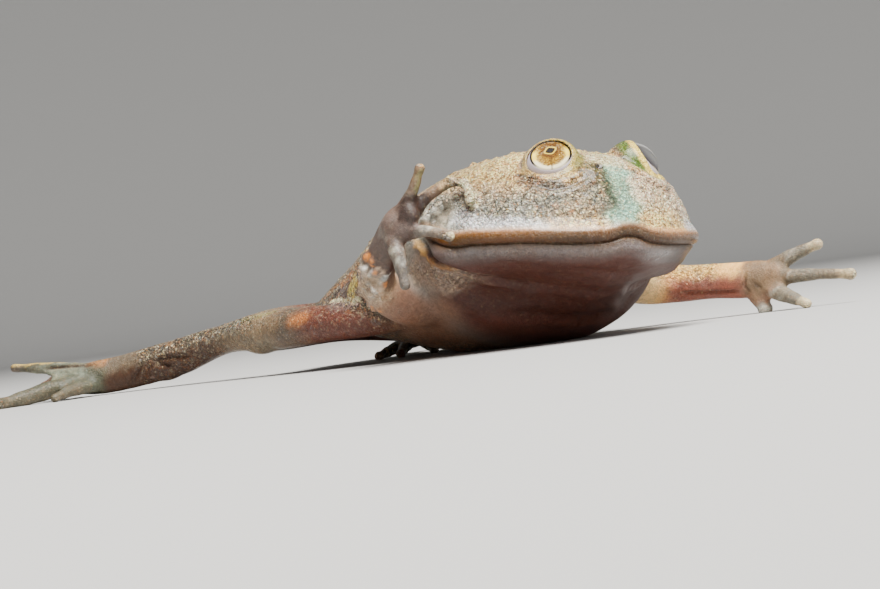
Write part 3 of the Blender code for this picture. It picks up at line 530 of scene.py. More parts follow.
def curve_at(stations, t):
    """A place, half width, half height and direction on the smooth curve through the stations."""
    points = np.array(stations, float)
    last = len(points) - 1
    i = min(int(t), last - 1)
    u = t - i
    before = points[i - 1] if i > 0 else 2 * points[0] - points[1]
    after = points[i + 2] if i + 2 <= last else 2 * points[-1] - points[-2]
    a, b = points[i], points[i + 1]
    first = b - before
    second = 2 * before - 5 * a + 4 * b - after
    third = 3 * a - before - 3 * b + after
    place = 0.5 * (2 * a + first * u + second * u**2 + third * u**3)
    slope = 0.5 * (first + 2 * second * u + 3 * third * u**2)
    return Vector(place[:3]), float(place[3]), float(place[-1]), Vector(slope[:3]).normalized()


def add_closed_mesh(name, mesh):
    """Turns a closed mesh's faces outwards and puts it into the scene."""
    maker = bmesh.new()
    maker.from_mesh(mesh)
    bmesh.ops.recalc_face_normals(maker, faces=maker.faces)
    maker.to_mesh(mesh)
    maker.free()
    obj = bpy.data.objects.new(name, mesh)
    bpy.context.scene.collection.objects.link(obj)
    return obj


class Clay:
    """Gathers closed, overlapping solids that are fused into one skin afterwards."""

    def __init__(self):
        self.points = []
        self.faces = []

    def add_rings(self, rings, start_tip, end_tip):
        """A closed form through rings of points, with a tip at each end."""
        base = len(self.points)
        count = len(rings[0])
        for ring in rings:
            self.points += [tuple(p) for p in ring]
        self.points += [tuple(start_tip), tuple(end_tip)]
        start, end = len(self.points) - 2, len(self.points) - 1
        final = base + (len(rings) - 1) * count
        for j in range(count):
            k = (j + 1) % count
            for i in range(len(rings) - 1):
                row, beyond = base + i * count, base + (i + 1) * count
                self.faces.append((row + j, row + k, beyond + k, beyond + j))
            self.faces.append((base + k, base + j, start))
            self.faces.append((final + j, final + k, end))

    def add_sheet(self, top, low):
        """A thin closed sheet between two grids of equal shape."""
        rows, cols = len(top), len(top[0])
        base = len(self.points)
        for grid in (top, low):
            for line in grid:
                self.points += [tuple(p) for p in line]
        other = base + rows * cols

        def at(layer, i, j):
            return layer + i * cols + j

        for i in range(rows - 1):
            for j in range(cols - 1):
                k, m = i + 1, j + 1
                self.faces.append((at(base, i, j), at(base, i, m), at(base, k, m), at(base, k, j)))
                self.faces.append((at(other, i, j), at(other, k, j), at(other, k, m), at(other, i, m)))
        border = [(0, j) for j in range(cols - 1)] + [(i, cols - 1) for i in range(rows - 1)]
        border += [(rows - 1, j) for j in range(cols - 1, 0, -1)]
        border += [(i, 0) for i in range(rows - 1, 0, -1)]
        for k, (i, j) in enumerate(border):
            m, n = border[(k + 1) % len(border)]
            self.faces.append((at(base, m, n), at(base, i, j), at(other, i, j), at(other, m, n)))

    def make(self, name):
        mesh = bpy.data.meshes.new(name)
        mesh.from_pydata([tuple(v * MM for v in p) for p in self.points], [], self.faces)
        return add_closed_mesh(name, mesh)


def add_trunk(clay, rings=150, around=160):
    """Head and trunk in one form, from snout to vent."""
    fraction = np.arange(1, rings) / rings
    turn = np.arange(around) / around * 2 * math.pi
    above = np.sin(turn) >= 0
    rows = []
    for s in BODY_LENGTH * (0.5 - 0.5 * np.cos(fraction * math.pi)):
        power = section_power(s, above)
        across = np.sign(np.cos(turn)) * np.abs(np.cos(turn)) ** (2 / power)
        upward = np.abs(np.sin(turn)) ** (2 / power)
        rim = follow(RIM, s)
        reach = np.where(above, follow(BACK, s), follow(BELLY, s)) - rim
        rows.append(lean(np.stack([half_width(s) * across, np.full(around, s), rim + reach * upward], -1)))
    clay.add_rings(rows, lean((0, 0, MOUTH_Z)), lean((0, BODY_LENGTH, BACK[-1][1])))


def ring_at(place, along, width, height, up, sides):
    """An oval of points round a place, square to the way along."""
    side = along.cross(up).normalized()
    crown = side.cross(along).normalized()
    turns = [2 * math.pi * j / sides for j in range(sides)]
    return [place + side * (width * math.cos(a)) + crown * (height * math.sin(a)) for a in turns]


def add_tube(clay, stations, up, sides=28, per=8, dome_rings=5, swell=None):
    """A limb or digit with rounded ends; swell changes its thickness along its length."""
    up = Vector(up)
    last = len(stations) - 1
    steps = last * per
    sampled = []
    for k in range(steps + 1):
        place, width, height, along = curve_at(stations, last * k / steps)
        size = swell(k / steps) if swell else 1.0
        sampled.append((place, width * size, height * size, along))
    rings = [ring_at(place, along, width, height, up, sides) for place, width, height, along in sampled]
    tips = []
    for (place, width, height, along), out in ((sampled[0], -1), (sampled[-1], 1)):
        size = min(width, height)
        domes = []
        for k in range(1, dome_rings):
            a = math.pi / 2 * k / dome_rings
            shift = place + along * (out * size * math.sin(a))
            domes.append(ring_at(shift, along, width * math.cos(a), height * math.cos(a), up, sides))
        rings = domes[::-1] + rings if out < 0 else rings + domes
        tips.append(place + along * (out * size))
    clay.add_rings(rings, tips[0], tips[1])


def digit_swell(t):
    """A digit's joints stand out a little and its tip is a small round pad."""
    joints = 0.07 * math.exp(-(((t - 0.42) / 0.09) ** 2)) + 0.06 * math.exp(-(((t - 0.72) / 0.08) ** 2))
    waist = -0.1 * math.exp(-(((t - 0.85) / 0.1) ** 2))
    return 1 + joints + waist + 0.12 * float(ease(0.9, 1.0, t))


def add_web(clay, toe_a, toe_b, reach, rows=22, across=14):
    """The thin web between two toes, with a hollow free edge."""
    grid = []
    for i in range(rows + 1):
        line = []
        for j in range(across + 1):
            v = j / across
            out = reach * (1 - 0.45 * math.sin(math.pi * v)) * i / rows
            a = curve_at(toe_a, 0.15 + out * (len(toe_a) - 1))[0]
            b = curve_at(toe_b, 0.15 + out * (len(toe_b) - 1))[0]
            line.append(a.lerp(b, v))
        grid.append(line)
    normal = (grid[-1][0] - grid[0][0]).cross(grid[-1][-1] - grid[0][0]).normalized()
    half = normal * (WEB_THICKNESS / 2)
    clay.add_sheet([[p + half for p in line] for line in grid], [[p - half for p in line] for line in grid])


def eye_frame(side):
    """An eye's centre, the way it looks, and the way its lids open, in the pose."""
    x, s, z = EYE_PLACE
    turn = EYE_TURNS[side]
    centre = Vector(lean((side * x, s, z)))
    flat = math.cos(EYE_LIFT)
    out = (side * math.sin(turn) * flat, -math.cos(turn) * flat, math.sin(EYE_LIFT))
    look = (Matrix.Rotation(HEAD_ROLL, 3, "Y") @ Vector(out)).normalized()
    opening = Matrix.Rotation(side * LID_TILT, 3, "Y") @ look
    return centre, look, opening


def lid_frame(side):
    """An eye's centre, the way its lids open, the height of their flat face, and its opening's radius."""
    centre, look, opening = eye_frame(side)
    cut = LID_HEIGHT * look.dot(opening)
    return np.array(centre), np.array(opening), cut, math.sqrt(SOCKET_RADIUS**2 - cut**2)


def add_lid(clay, side, rings=24, sides=48):
    """The ball of the lids, cut flat where they open."""
    centre, look, opening = eye_frame(side)
    a = opening.orthogonal().normalized()
    b = opening.cross(a)
    cut = LID_HEIGHT * look.dot(opening)
    rows = []
    for i in range(1, rings):
        turn = math.pi * i / rings
        height, width = LID_RADIUS * math.cos(turn), LID_RADIUS * math.sin(turn)
        if height > cut:
            width *= math.sqrt(LID_RADIUS**2 - cut**2) / LID_RADIUS
            height = cut
        middle = centre + opening * height
        turns = [2 * math.pi * j / sides for j in range(sides)]
        rows.append([middle + (a * math.cos(t) + b * math.sin(t)) * width for t in turns])
    clay.add_rings(rows, centre + opening * cut, centre - opening * LID_RADIUS)


def model_body():
    """All the flesh as overlapping solids."""
    clay = Clay()
    add_trunk(clay)
    for stations, up, *_ in LIMBS:
        add_tube(clay, stations, up)
    for paw, digits in DIGITS.items():
        for digit in digits:
            add_tube(clay, digit, SKYWARD, sides=18, per=9, swell=digit_swell)
        for toe_a, toe_b in zip(digits, digits[1:]):
            add_web(clay, toe_a, toe_b, WEBBED[paw])
    for side in (-1, 1):
        add_lid(clay, side)
    return clay.make("skin")


def bake_modifiers(obj):
    """Gives the object the mesh that its modifiers make."""
    depsgraph = bpy.context.evaluated_depsgraph_get()
    done = bpy.data.meshes.new_from_object(obj.evaluated_get(depsgraph))
    obj.modifiers.clear()
    old = obj.data
    obj.data = done
    bpy.data.meshes.remove(old)


def read_points(mesh):
    """The mesh's points in millimetres."""
    points = np.empty(len(mesh.vertices) * 3)
    mesh.vertices.foreach_get("co", points)
    return points.reshape(-1, 3) / MM


def write_points(mesh, points):
    mesh.vertices.foreach_set("co", (points * MM).ravel())
    mesh.update()


def read_normals(mesh):
    normals = np.empty(len(mesh.vertices) * 3)
    mesh.vertex_normals.foreach_get("vector", normals)
    return normals.reshape(-1, 3)


def read_edges(mesh):
    edges = np.empty(len(mesh.edges) * 2, np.int32)
    mesh.edges.foreach_get("vertices", edges)
    return edges.reshape(-1, 2)


def pull_of(points, edges, count):
    """How far each point lies from the middle of its neighbours."""
    total = np.empty_like(points)
    for axis in range(3):
        total[:, axis] = np.bincount(edges[:, 0], points[edges[:, 1], axis], len(points))
        total[:, axis] += np.bincount(edges[:, 1], points[edges[:, 0], axis], len(points))
    return total / count[:, None] - points


def smooth(points, edges, weight, rounds, rebound=0.0):
    """Evens the points out; with a rebound the form keeps its size."""
    count = np.bincount(edges.ravel(), minlength=len(points)).clip(1)
    for _ in range(rounds):
        points = points + pull_of(points, edges, count) * (0.5 * weight)[:, None]
        if rebound:
            points = points - pull_of(points, edges, count) * (rebound * weight)[:, None]
    return points


def distance_to(route, places):
    """Distance from each place to a route of straight runs."""
    route = np.asarray(route, float)
    best = np.full(len(places), np.inf)
    for a, b in zip(route, route[1:]):
        run = b - a
        t = np.clip((places - a) @ run / (run @ run), 0, 1)
        best = np.minimum(best, ((places - a - t[:, None] * run) ** 2).sum(1))
    return np.sqrt(best)


def curved(route, per=6):
    """A route through the same points, bent smoothly."""
    last = len(route) - 1
    padded = [tuple(p) + (0,) for p in route]
    return [tuple(curve_at(padded, last * k / (last * per))[0]) for k in range(last * per + 1)]


def near(route, places, reach, soft):
    """1 within reach of a route, fading to 0 over the soft margin."""
    if len(route) == 1:
        away = np.sqrt(((places - np.asarray(route[0], float)) ** 2).sum(1))
    else:
        away = distance_to(route, places)
    return 1 - ease(reach, reach + soft, away)


def along_limb(stations, up, places, samples=90):
    """For each place: distance from the limb's axis in the limb's own thickness, station, and how far
    towards the limb's upper side it lies."""
    last = len(stations) - 1
    best = np.full(len(places), np.inf)
    station = np.zeros(len(places))
    upper = np.zeros(len(places))
    for k in range(samples + 1):
        t = last * k / samples
        centre, width, height, along = curve_at(stations, t)
        side = along.cross(Vector(up)).normalized()
        crown = side.cross(along).normalized()
        away = places - np.array(centre)
        u, v, w = away @ np.array(side) / width, away @ np.array(crown) / height, away @ np.array(along)
        size = u**2 + v**2 + (w / min(width, height)) ** 2
        closer = size < best
        best = np.where(closer, size, best)
        station = np.where(closer, t, station)
        upper = np.where(closer, v, upper)
    return np.sqrt(best), station, upper


def cut_along(mesh, field, levels, reach):
    """Adds a row of edges where the field passes each level, so that a sharp form can follow it. The
    dictionaries keep points and faces in the order in which they are found, so every run is the same."""
    maker = bmesh.new()
    maker.from_mesh(mesh)
    for level in levels:
        maker.verts.index_update()
        places = np.array([v.co for v in maker.verts]) / MM
        value = field(places) - level
        crossed = [
            e for e in maker.edges
            if value[e.verts[0].index] * value[e.verts[1].index] < 0
            and abs(value[e.verts[0].index]) < reach and abs(value[e.verts[1].index]) < reach
        ]
        fresh = {}
        for edge in crossed:
            start = edge.verts[0]
            a, b = value[start.index], value[edge.verts[1].index]
            fresh[bmesh.utils.edge_split(edge, start, a / (a - b))[1]] = True
        for face in dict.fromkeys(f for v in fresh for f in v.link_faces):
            ends = [v for v in face.verts if v in fresh]
            if len(ends) == 2:
                try:
                    bmesh.utils.face_split(face, ends[0], ends[1])
                except ValueError:
                    continue
    maker.to_mesh(mesh)
    maker.free()
    mesh.update()


def trunk_fit(level):
    """1 on the trunk's own surface, more outside it, less inside it."""
    x, s, z = level[:, 0], level[:, 1], level[:, 2]
    rim = follow(RIM, s)
    above = z >= rim
    power = section_power(s, above)
    reach = np.abs(np.where(above, follow(BACK, s), follow(BELLY, s)) - rim).clip(0.2)
    across = np.abs(x) / half_width(s).clip(0.2)
    return (across**power + (np.abs(z - rim) / reach) ** power) ** (1 / power)


def above_mouth(level):
    """Height over the mouth's line."""
    return level[:, 2] - follow(MOUTH_LINE, np.abs(level[:, 0])) - follow(MOUTH_RISE, level[:, 1])


def mouth_field(places):
    """Height over the mouth's line near the mouth, and a far value elsewhere."""
    level = unlean(places)
    inside = (level[:, 1] < MOUTH_CORNER + 3) & (np.abs(level[:, 0]) < JAW_HALF_WIDTH + 1.5)
    return np.where(inside & (trunk_fit(level) < 1.08) | (level[:, 1] < 3), above_mouth(level), FAR)


def on_trunk(level, low, high):
    """1 on the trunk, fading to 0 outside it; the head's front always counts as trunk."""
    x, s = level[:, 0], level[:, 1]
    ahead = (np.abs(x) < FRONT_HALF_WIDTH) & (s < np.where(x > 0, FRONT_DEPTH_LEFT, FRONT_DEPTH_RIGHT))
    return np.where(ahead, 1, 1 - ease(low, high, trunk_fit(level)))


def mirrored(level):
    """The same places with the left side laid over the right."""
    return np.stack([-np.abs(level[:, 0]), level[:, 1], level[:, 2]], -1)


def fold_amount(places, folds):
    """Grooves with a raised edge beside them, ending softly."""
    total = np.zeros(len(places))
    for width, depth, ridge, route in folds:
        line = np.array(curved(route))
        low, high = line.min(0) - 5 * width, line.max(0) + 5 * width
        chosen = np.flatnonzero(((places > low) & (places < high)).all(1))
        if not len(chosen):
            continue
        spot = places[chosen]
        away = distance_to(line, spot)
        ends = np.minimum(((spot - line[0]) ** 2).sum(1), ((spot - line[-1]) ** 2).sum(1)) ** 0.5
        fade = 0.25 + 0.75 * ease(0, 5 * width, ends)
        groove = -depth * np.exp(-((away / width) ** 2))
        groove += ridge * np.exp(-(((away - 2 * width) / width) ** 2))
        total[chosen] += groove * fade
    return total


def bump_amount(places, bumps):
    """Soft domes: place, radius and height of each."""
    total = np.zeros(len(places))
    for place, radius, height in bumps:
        away = ((places - np.asarray(place)) ** 2).sum(1)
        chosen = away < radius**2
        total[chosen] += height * (1 - away[chosen] / radius**2) ** 2
    return total


def back_glands(seed, count):
    """The round glands of the back: two uneven rows and a scatter between and beside them."""
    rng = np.random.default_rng(seed)
    glands = []
    for side in (-1, 1):
        for s in np.arange(30, 84, 4.2):
            x = side * (9.5 + 4.5 * ease(26, 60, s) - 5.5 * ease(62, 88, s)) + rng.normal(0, 0.7)
            glands.append((x, s + rng.normal(0, 0.8), rng.uniform(0.9, 1.5), rng.uniform(0.4, 0.7)))
    for _ in range(count):
        s = rng.uniform(16, 86)
        x = rng.uniform(-1, 1) * float(half_width(s)) * 0.86
        glands.append((x, s, rng.uniform(0.45, 1.0), rng.uniform(0.2, 0.45)))
    placed = []
    for x, s, radius, height in glands:
        share = min(abs(x) / float(half_width(s)), 0.98)
        power = float(section_power(s, True))
        rim = float(follow(RIM, s))
        z = rim + (float(follow(BACK, s)) - rim) * (1 - share**power) ** (1 / power)
        placed.append((tuple(lean((x, s, z))), radius, height))
    return placed


def open_sockets(points):
    """Hollows the lids' flat faces into sockets for the eyeballs and rolls the lids' edges."""
    for side in (-1, 1):
        centre, axis, cut, mouth = lid_frame(side)
        away = points - centre
        height = away @ axis
        flat = away - height[:, None] * axis
        across = np.sqrt((flat**2).sum(1))
        face = (np.abs(height - cut) < LID_FACE_BAND) & (across < mouth)
        rim_angle = math.acos(cut / SOCKET_RADIUS)
        angle = math.pi - across / mouth * (math.pi - rim_angle)
        way = flat / across.clip(1e-6)[:, None]
        bowl = np.sin(angle)[:, None] * way + np.cos(angle)[:, None] * axis
        points = np.where(face[:, None], centre + SOCKET_RADIUS * bowl, points)
        edge = np.exp(-(((across - mouth - LID_EDGE_OUT) / LID_EDGE_WIDTH) ** 2))
        edge *= np.abs(height - cut) < LID_BAND
        points = points + axis * (LID_EDGE * edge * ~face)[:, None]
    return points


def socket_field(side):
    """Distance from the eye's axis on the lids' flat face, and a far value elsewhere."""
    centre, axis, cut, _ = lid_frame(side)

    def field(places):
        away = places - centre
        height = away @ axis
        across = np.sqrt(((away - height[:, None] * axis) ** 2).sum(1))
        return np.where(np.abs(height - cut) < LID_BAND, across, FAR)

    return field


def eye_nearness(points, reach, soft):
    """1 within reach of an eye's centre, fading to 0 over the soft margin."""
    best = np.zeros(len(points))
    for side in (-1, 1):
        centre = np.array(eye_frame(side)[0])
        best = np.maximum(best, 1 - ease(reach, reach + soft, np.sqrt(((points - centre) ** 2).sum(1))))
    return best


def refine_skin(obj, triangles):
    """Fuses the clay, fills its joins, and thins the mesh where the frog is plain."""
    fuse = obj.modifiers.new("Fuse", "REMESH")
    fuse.mode = "VOXEL"
    fuse.voxel_size = VOXEL * MM
    bake_modifiers(obj)
    points, edges = read_points(obj.data), read_edges(obj.data)
    whole = np.ones(len(points))
    points = smooth(points, edges, whole, EVEN_ROUNDS, rebound=REBOUND)
    write_points(obj.data, points)
    count = np.bincount(edges.ravel(), minlength=len(points)).clip(1)
    hollow = (pull_of(points, edges, count) * read_normals(obj.data)).sum(1)
    join = ease(0.006, 0.03, hollow) * (1 - eye_nearness(points, 5.2, 1.0))
    level = unlean(points)
    join *= 1 - near(HAND_KEPT, points, 2.0, 1.0)
    spread = join[:, None]
    for _ in range(6):
        spread = np.maximum(spread, (spread + pull_of(spread.repeat(3, 1), edges, count)[:, :1]))
    join = spread[:, 0].clip(0, 1)
    points = smooth(points, edges, join, FILLET_ROUNDS)
    write_points(obj.data, points)

    fine = (level[:, 1] < FACE_DEPTH) & (level[:, 2] > FACE_FLOOR)
    fine |= near(HAND_KEPT, points, FINE_HAND, 0.5) > 0
    fine |= near(ELBOW_KEPT, points, FINE_ELBOW, 0.5) > 0
    for *_, route in settle(LIMB_FOLDS, points):
        fine |= near(route, points, FINE_FOLD, 0.1) > 0
    group = obj.vertex_groups.new(name="plain")
    group.add(np.flatnonzero(~fine).tolist(), 1.0, "REPLACE")
    faces = sum(len(p.vertices) - 2 for p in obj.data.polygons)
    if faces > triangles:
        thin = obj.modifiers.new("Thin", "DECIMATE")
        thin.ratio = triangles / faces
        thin.vertex_group = "plain"
        thin.vertex_group_factor = 1.0
        bake_modifiers(obj)
    obj.vertex_groups.clear()


def cheek_beads(seed, count):
    """Places, radii and heights of the nodules over the mouth's corner."""
    chance = np.random.default_rng(seed)
    beads = []
    for _ in range(count):
        s, z = chance.uniform(19.5, 30), chance.uniform(17.2, 22.6)
        rise = (z - MOUTH_Z) / (float(follow(BACK, s)) - MOUTH_Z)
        x = -float(half_width(s)) * (1 - rise**2.1) ** (1 / 2.1)
        beads.append(((x, s, z), chance.uniform(0.7, 1.15), chance.uniform(0.3, 0.6)))
    return beads


def elbow_beads(seed, count):
    """Places, radii and heights of the nodules round the right elbow."""
    chance = np.random.default_rng(seed)
    beads = []
    for _ in range(count):
        place, width, height, along = curve_at(RIGHT_ARM, chance.uniform(1.7, 3.2))
        side = along.cross(Vector(OUTWARD)).normalized()
        crown = side.cross(along).normalized()
        turn = chance.uniform(-1.8, 1.8)
        centre = place + crown * (height * math.cos(turn)) + side * (width * math.sin(turn))
        beads.append((tuple(centre), chance.uniform(0.7, 1.1), chance.uniform(0.4, 0.7)))
    return beads


def settle(folds, points):
    """Moves each fold's route onto the nearest places of the skin."""
    return [
        (width, depth, ridge, [points[((points - place) ** 2).sum(1).argmin()] for place in route])
        for width, depth, ridge, route in folds
    ]


def push_lips(points, normals, level, trunk, settings):
    """Pushes the lips out along the mouth's line and draws the chin in under them."""
    height = above_mouth(level)
    fade = (1 - ease(MOUTH_CORNER - 5, MOUTH_CORNER + 1, level[:, 1])) * trunk
    outward = normals * (1, 1, 0)
    outward /= np.sqrt((outward**2).sum(1)).clip(0.25)[:, None]
    lips = follow(LIPS, height) * settings.lip_fullness
    chin = height < CHIN_TOP
    drawn_in = 0.35 + 0.95 * ease(6, 16, np.abs(level[:, 0]))
    lips = np.where((lips < 0) & chin, lips * drawn_in, lips)
    lips *= 1 - near(LEFT_ARM_ROOT, points, 5.5, 3) * chin
    return points + outward * (lips * fade)[:, None]


def carve_skin(obj, settings):
    """Mouth, lips, lids, nostrils, folds, warts and glands."""
    cut_along(obj.data, mouth_field, MOUTH_CUTS, MOUTH_CUT_REACH)
    for side in (-1, 1):
        opening_radius = lid_frame(side)[-1]
        cut_along(obj.data, socket_field(side), [opening_radius + step for step in LID_CUTS], LID_BAND)
    points = read_points(obj.data)
    normals = read_normals(obj.data)
    level = unlean(points)
    trunk = on_trunk(level, 1.05, 1.15)
    points = push_lips(points, normals, level, trunk, settings)

    side = mirrored(level)
    amount = fold_amount(side, HEAD_FOLDS) * (1 - ease(1.12, 1.25, trunk_fit(level)))
    amount += fold_amount(level, THROAT_FOLDS) * trunk
    amount += fold_amount(points, settle(LIMB_FOLDS, points))
    amount += bump_amount(side, CHEEK_WARTS) * trunk
    amount += bump_amount(side, cheek_beads(settings.seed, CHEEK_BEADS)) * trunk
    amount += bump_amount(side, HEAD_SWELLS) * trunk
    amount += bump_amount(points, LIMB_BUMPS)
    amount += bump_amount(points, elbow_beads(settings.seed, ELBOW_BEADS))
    amount += bump_amount(points, back_glands(settings.seed, settings.gland_count)) * trunk
    amount -= bump_amount(side, NOSTRILS)
    points = points + normals * amount[:, None]
    points = open_sockets(points)
    points[:, 2] = points[:, 2].clip(0)
    write_points(obj.data, points)


def ruffle(places, reach):
    """Shifts places a little to and fro, so that no marking has a ruled edge."""
    x, y, z = places.T

    def wave(k):
        long_wave = np.sin(2.1 * y + 1.3 * z + k)
        return long_wave + 0.6 * np.sin(4.7 * x - 3.9 * z + 2 * k) + 0.5 * np.sin(7.3 * y + 5.9 * x + 3 * k)

    return places + reach * np.stack([wave(k) for k in (0.0, 2.1, 4.2)], -1)


class Coat:
    """The skin's colour at each of its points, and how granular, specked and wet it is there."""

    def __init__(self, tones, count):
        self.tones = tones
        self.tint = np.tile(np.asarray(tones["back"])[:3], (count, 1))
        self.granular = np.ones(count)
        self.specked = np.ones(count)
        self.wet = np.ones(count)

    def paint(self, tone, amount):
        colour = np.asarray(self.tones[tone])[None, :3]
        self.tint = self.tint + (colour - self.tint) * np.clip(amount, 0, 1)[:, None]

    def mark(self, marks, places, share=1):
        """Paints markings: colour, strength, reach, soft margin and route of each."""
        for tone, strength, reach, soft, route in marks:
            self.paint(tone, strength * near(route, places, reach, soft) * share)

    def calm(self, mask, granular, specked):
        """Takes away a share of the granules and of the specks where the mask says."""
        self.granular *= 1 - granular * mask
        self.specked *= 1 - specked * mask

    def store(self, mesh):
        """Keeps the coat as two attributes of the mesh's points, which the material reads."""
        pattern = np.stack([self.granular, self.specked, self.wet], -1)
        for name, data in (("tint", self.tint), ("pattern", pattern)):
            layer = mesh.attributes.new(name, "FLOAT_COLOR", "POINT")
            layer.data.foreach_set("color", np.c_[data.clip(0, 1), np.ones(len(data))].ravel())


def paint_ground(coat, level, below, trunk):
    """The ground colours of head, cheeks, flanks, belly and throat. The head's is partly painted light, the
    belly's and throat's are darkened as painted shade, and the throat's lowest part is lightened as painted
    bounce light.
    """
    s, z = level[:, 1], level[:, 2]
    # The head's colour is partly its own and partly painted light, as it is lit from above.
    coat.paint("head", 1 - ease(24, 46, s))
    coat.paint("cheek", (1 - ease(22.0, 27.0, z)) * ease(1.5, 6, s) * (1 - ease(34, 44, s)))
    coat.paint("flank", (1 - ease(12, 20, z)) * ease(30, 40, s))
    # Painted shade: the belly is darkened as the shaded underside.
    coat.paint("shaded_belly", (1 - ease(0, 7, z)) * ease(26, 40, s))
    # Painted shade: the throat is painted dark, as it is shaded from above.
    shaded_throat = below * (1 - ease(26, 38, s)) * trunk
    coat.paint("shaded_throat", shaded_throat)
    # Painted bounce light: the throat's lowest part is lightened with the blush.
    coat.paint("blush_and_bounce_light", 0.45 * shaded_throat * (1 - ease(0.5, 4.5, z)))


def paint_lips(coat, level, height, mouth):
    """The lips, darker below their line and towards the left and lighter above it towards the right, with
    painted shade in the slit between them and on the lower lip where it turns under into the chin.
    """
    x = level[:, :1]
    under = (height < 0)[:, None]
    heights, *channels = zip(*LIP_TONES)
    read_at = height + 0.4 * ease(3, 9, level[:, 0]) * (height > 0)
    lips = np.stack([np.interp(read_at, heights, channel) for channel in channels], -1)
    lips *= 1 + np.where(under, -0.12, 0.9) * (1 - ease(-18, -9, x))
    lips *= 1 - 0.6 * ease(6, 14, x) * under
    on = ease(-3.6, -2.9, height) * (1 - ease(1.9, 3.2, height)) * mouth
    coat.tint = coat.tint + (lips - coat.tint) * on[:, None]
    # Painted shade in the slit between the lips.
    coat.paint("slit_shade", (1 - ease(0.05, 0.16, np.abs(height))) * mouth)


def paint_limbs(coat, level, places):
    """The limbs' ground colours and granules; gives back how far each point belongs to a limb."""
    limbs = np.zeros(len(places))
    outside = ease(1.0, 1.14, trunk_fit(level))
    for stations, up, upper_grain, low_grain, marks in LIMBS:
        ratio, station, upper = along_limb(stations, up, places)
        on = (1 - ease(1.25, 1.8, ratio)) * outside
        shares = {"all": 1, "top": ease(-0.1, 0.6, upper), "low": ease(0.4, -0.2, upper)}
        for tone, strength, part, first, last in marks:
            span = ease(first - 0.4, first + 0.4, station) * (1 - ease(last - 0.4, last + 0.4, station))
            coat.paint(tone, strength * on * shares[part] * span)
        grain = low_grain + (upper_grain - low_grain) * shares["top"]
        coat.granular += (grain - coat.granular) * on
        coat.specked += (0.1 + 0.9 * grain - coat.specked) * on
        limbs = np.maximum(limbs, on)
    return limbs


def paint_lids(coat, points):
    """The smoother skin of the lids, its olive or green inner side, its pale edge, and black painted shade
    in the socket round the eyeball.
    """
    for side in (-1, 1):
        centre, axis, cut, _ = lid_frame(side)
        away = points - centre
        far = np.sqrt((away**2).sum(1))
        up = away @ axis
        around = 1 - ease(*LID_FADE, far)
        coat.calm(around * ease(-2.2, 0.2, up), 0.6, 0.75)
        coat.paint("lid", around * ease(-2.4, -0.8, up))
        inner = away @ np.array((-side * math.cos(HEAD_ROLL), -0.35, 0.35))
        inner_tone = "lid_olive" if side < 0 else "lid_green"
        coat.paint(inner_tone, around * ease(-1.0, 1.2, inner) * ease(-1.4, 0.4, up))
        width, strength = LID_STRIPS[side]
        coat.paint("lid_edge", strength * ease(cut - width - 0.3, cut - width, up) * (far < LID_STRIP_REACH))
        # Black painted shade in the socket's gap round the eyeball.
        coat.paint("hollow_shade", 1 - ease(*SOCKET_FADE, far))


def paint_crease_shade(coat, places, folds, share):
    """Paints shade into the grooves of folds."""
    grooves = [(width, 1.0, 0.0, route) for width, _, _, route in folds]
    coat.paint("crease_shade", -share * fold_amount(places, grooves))


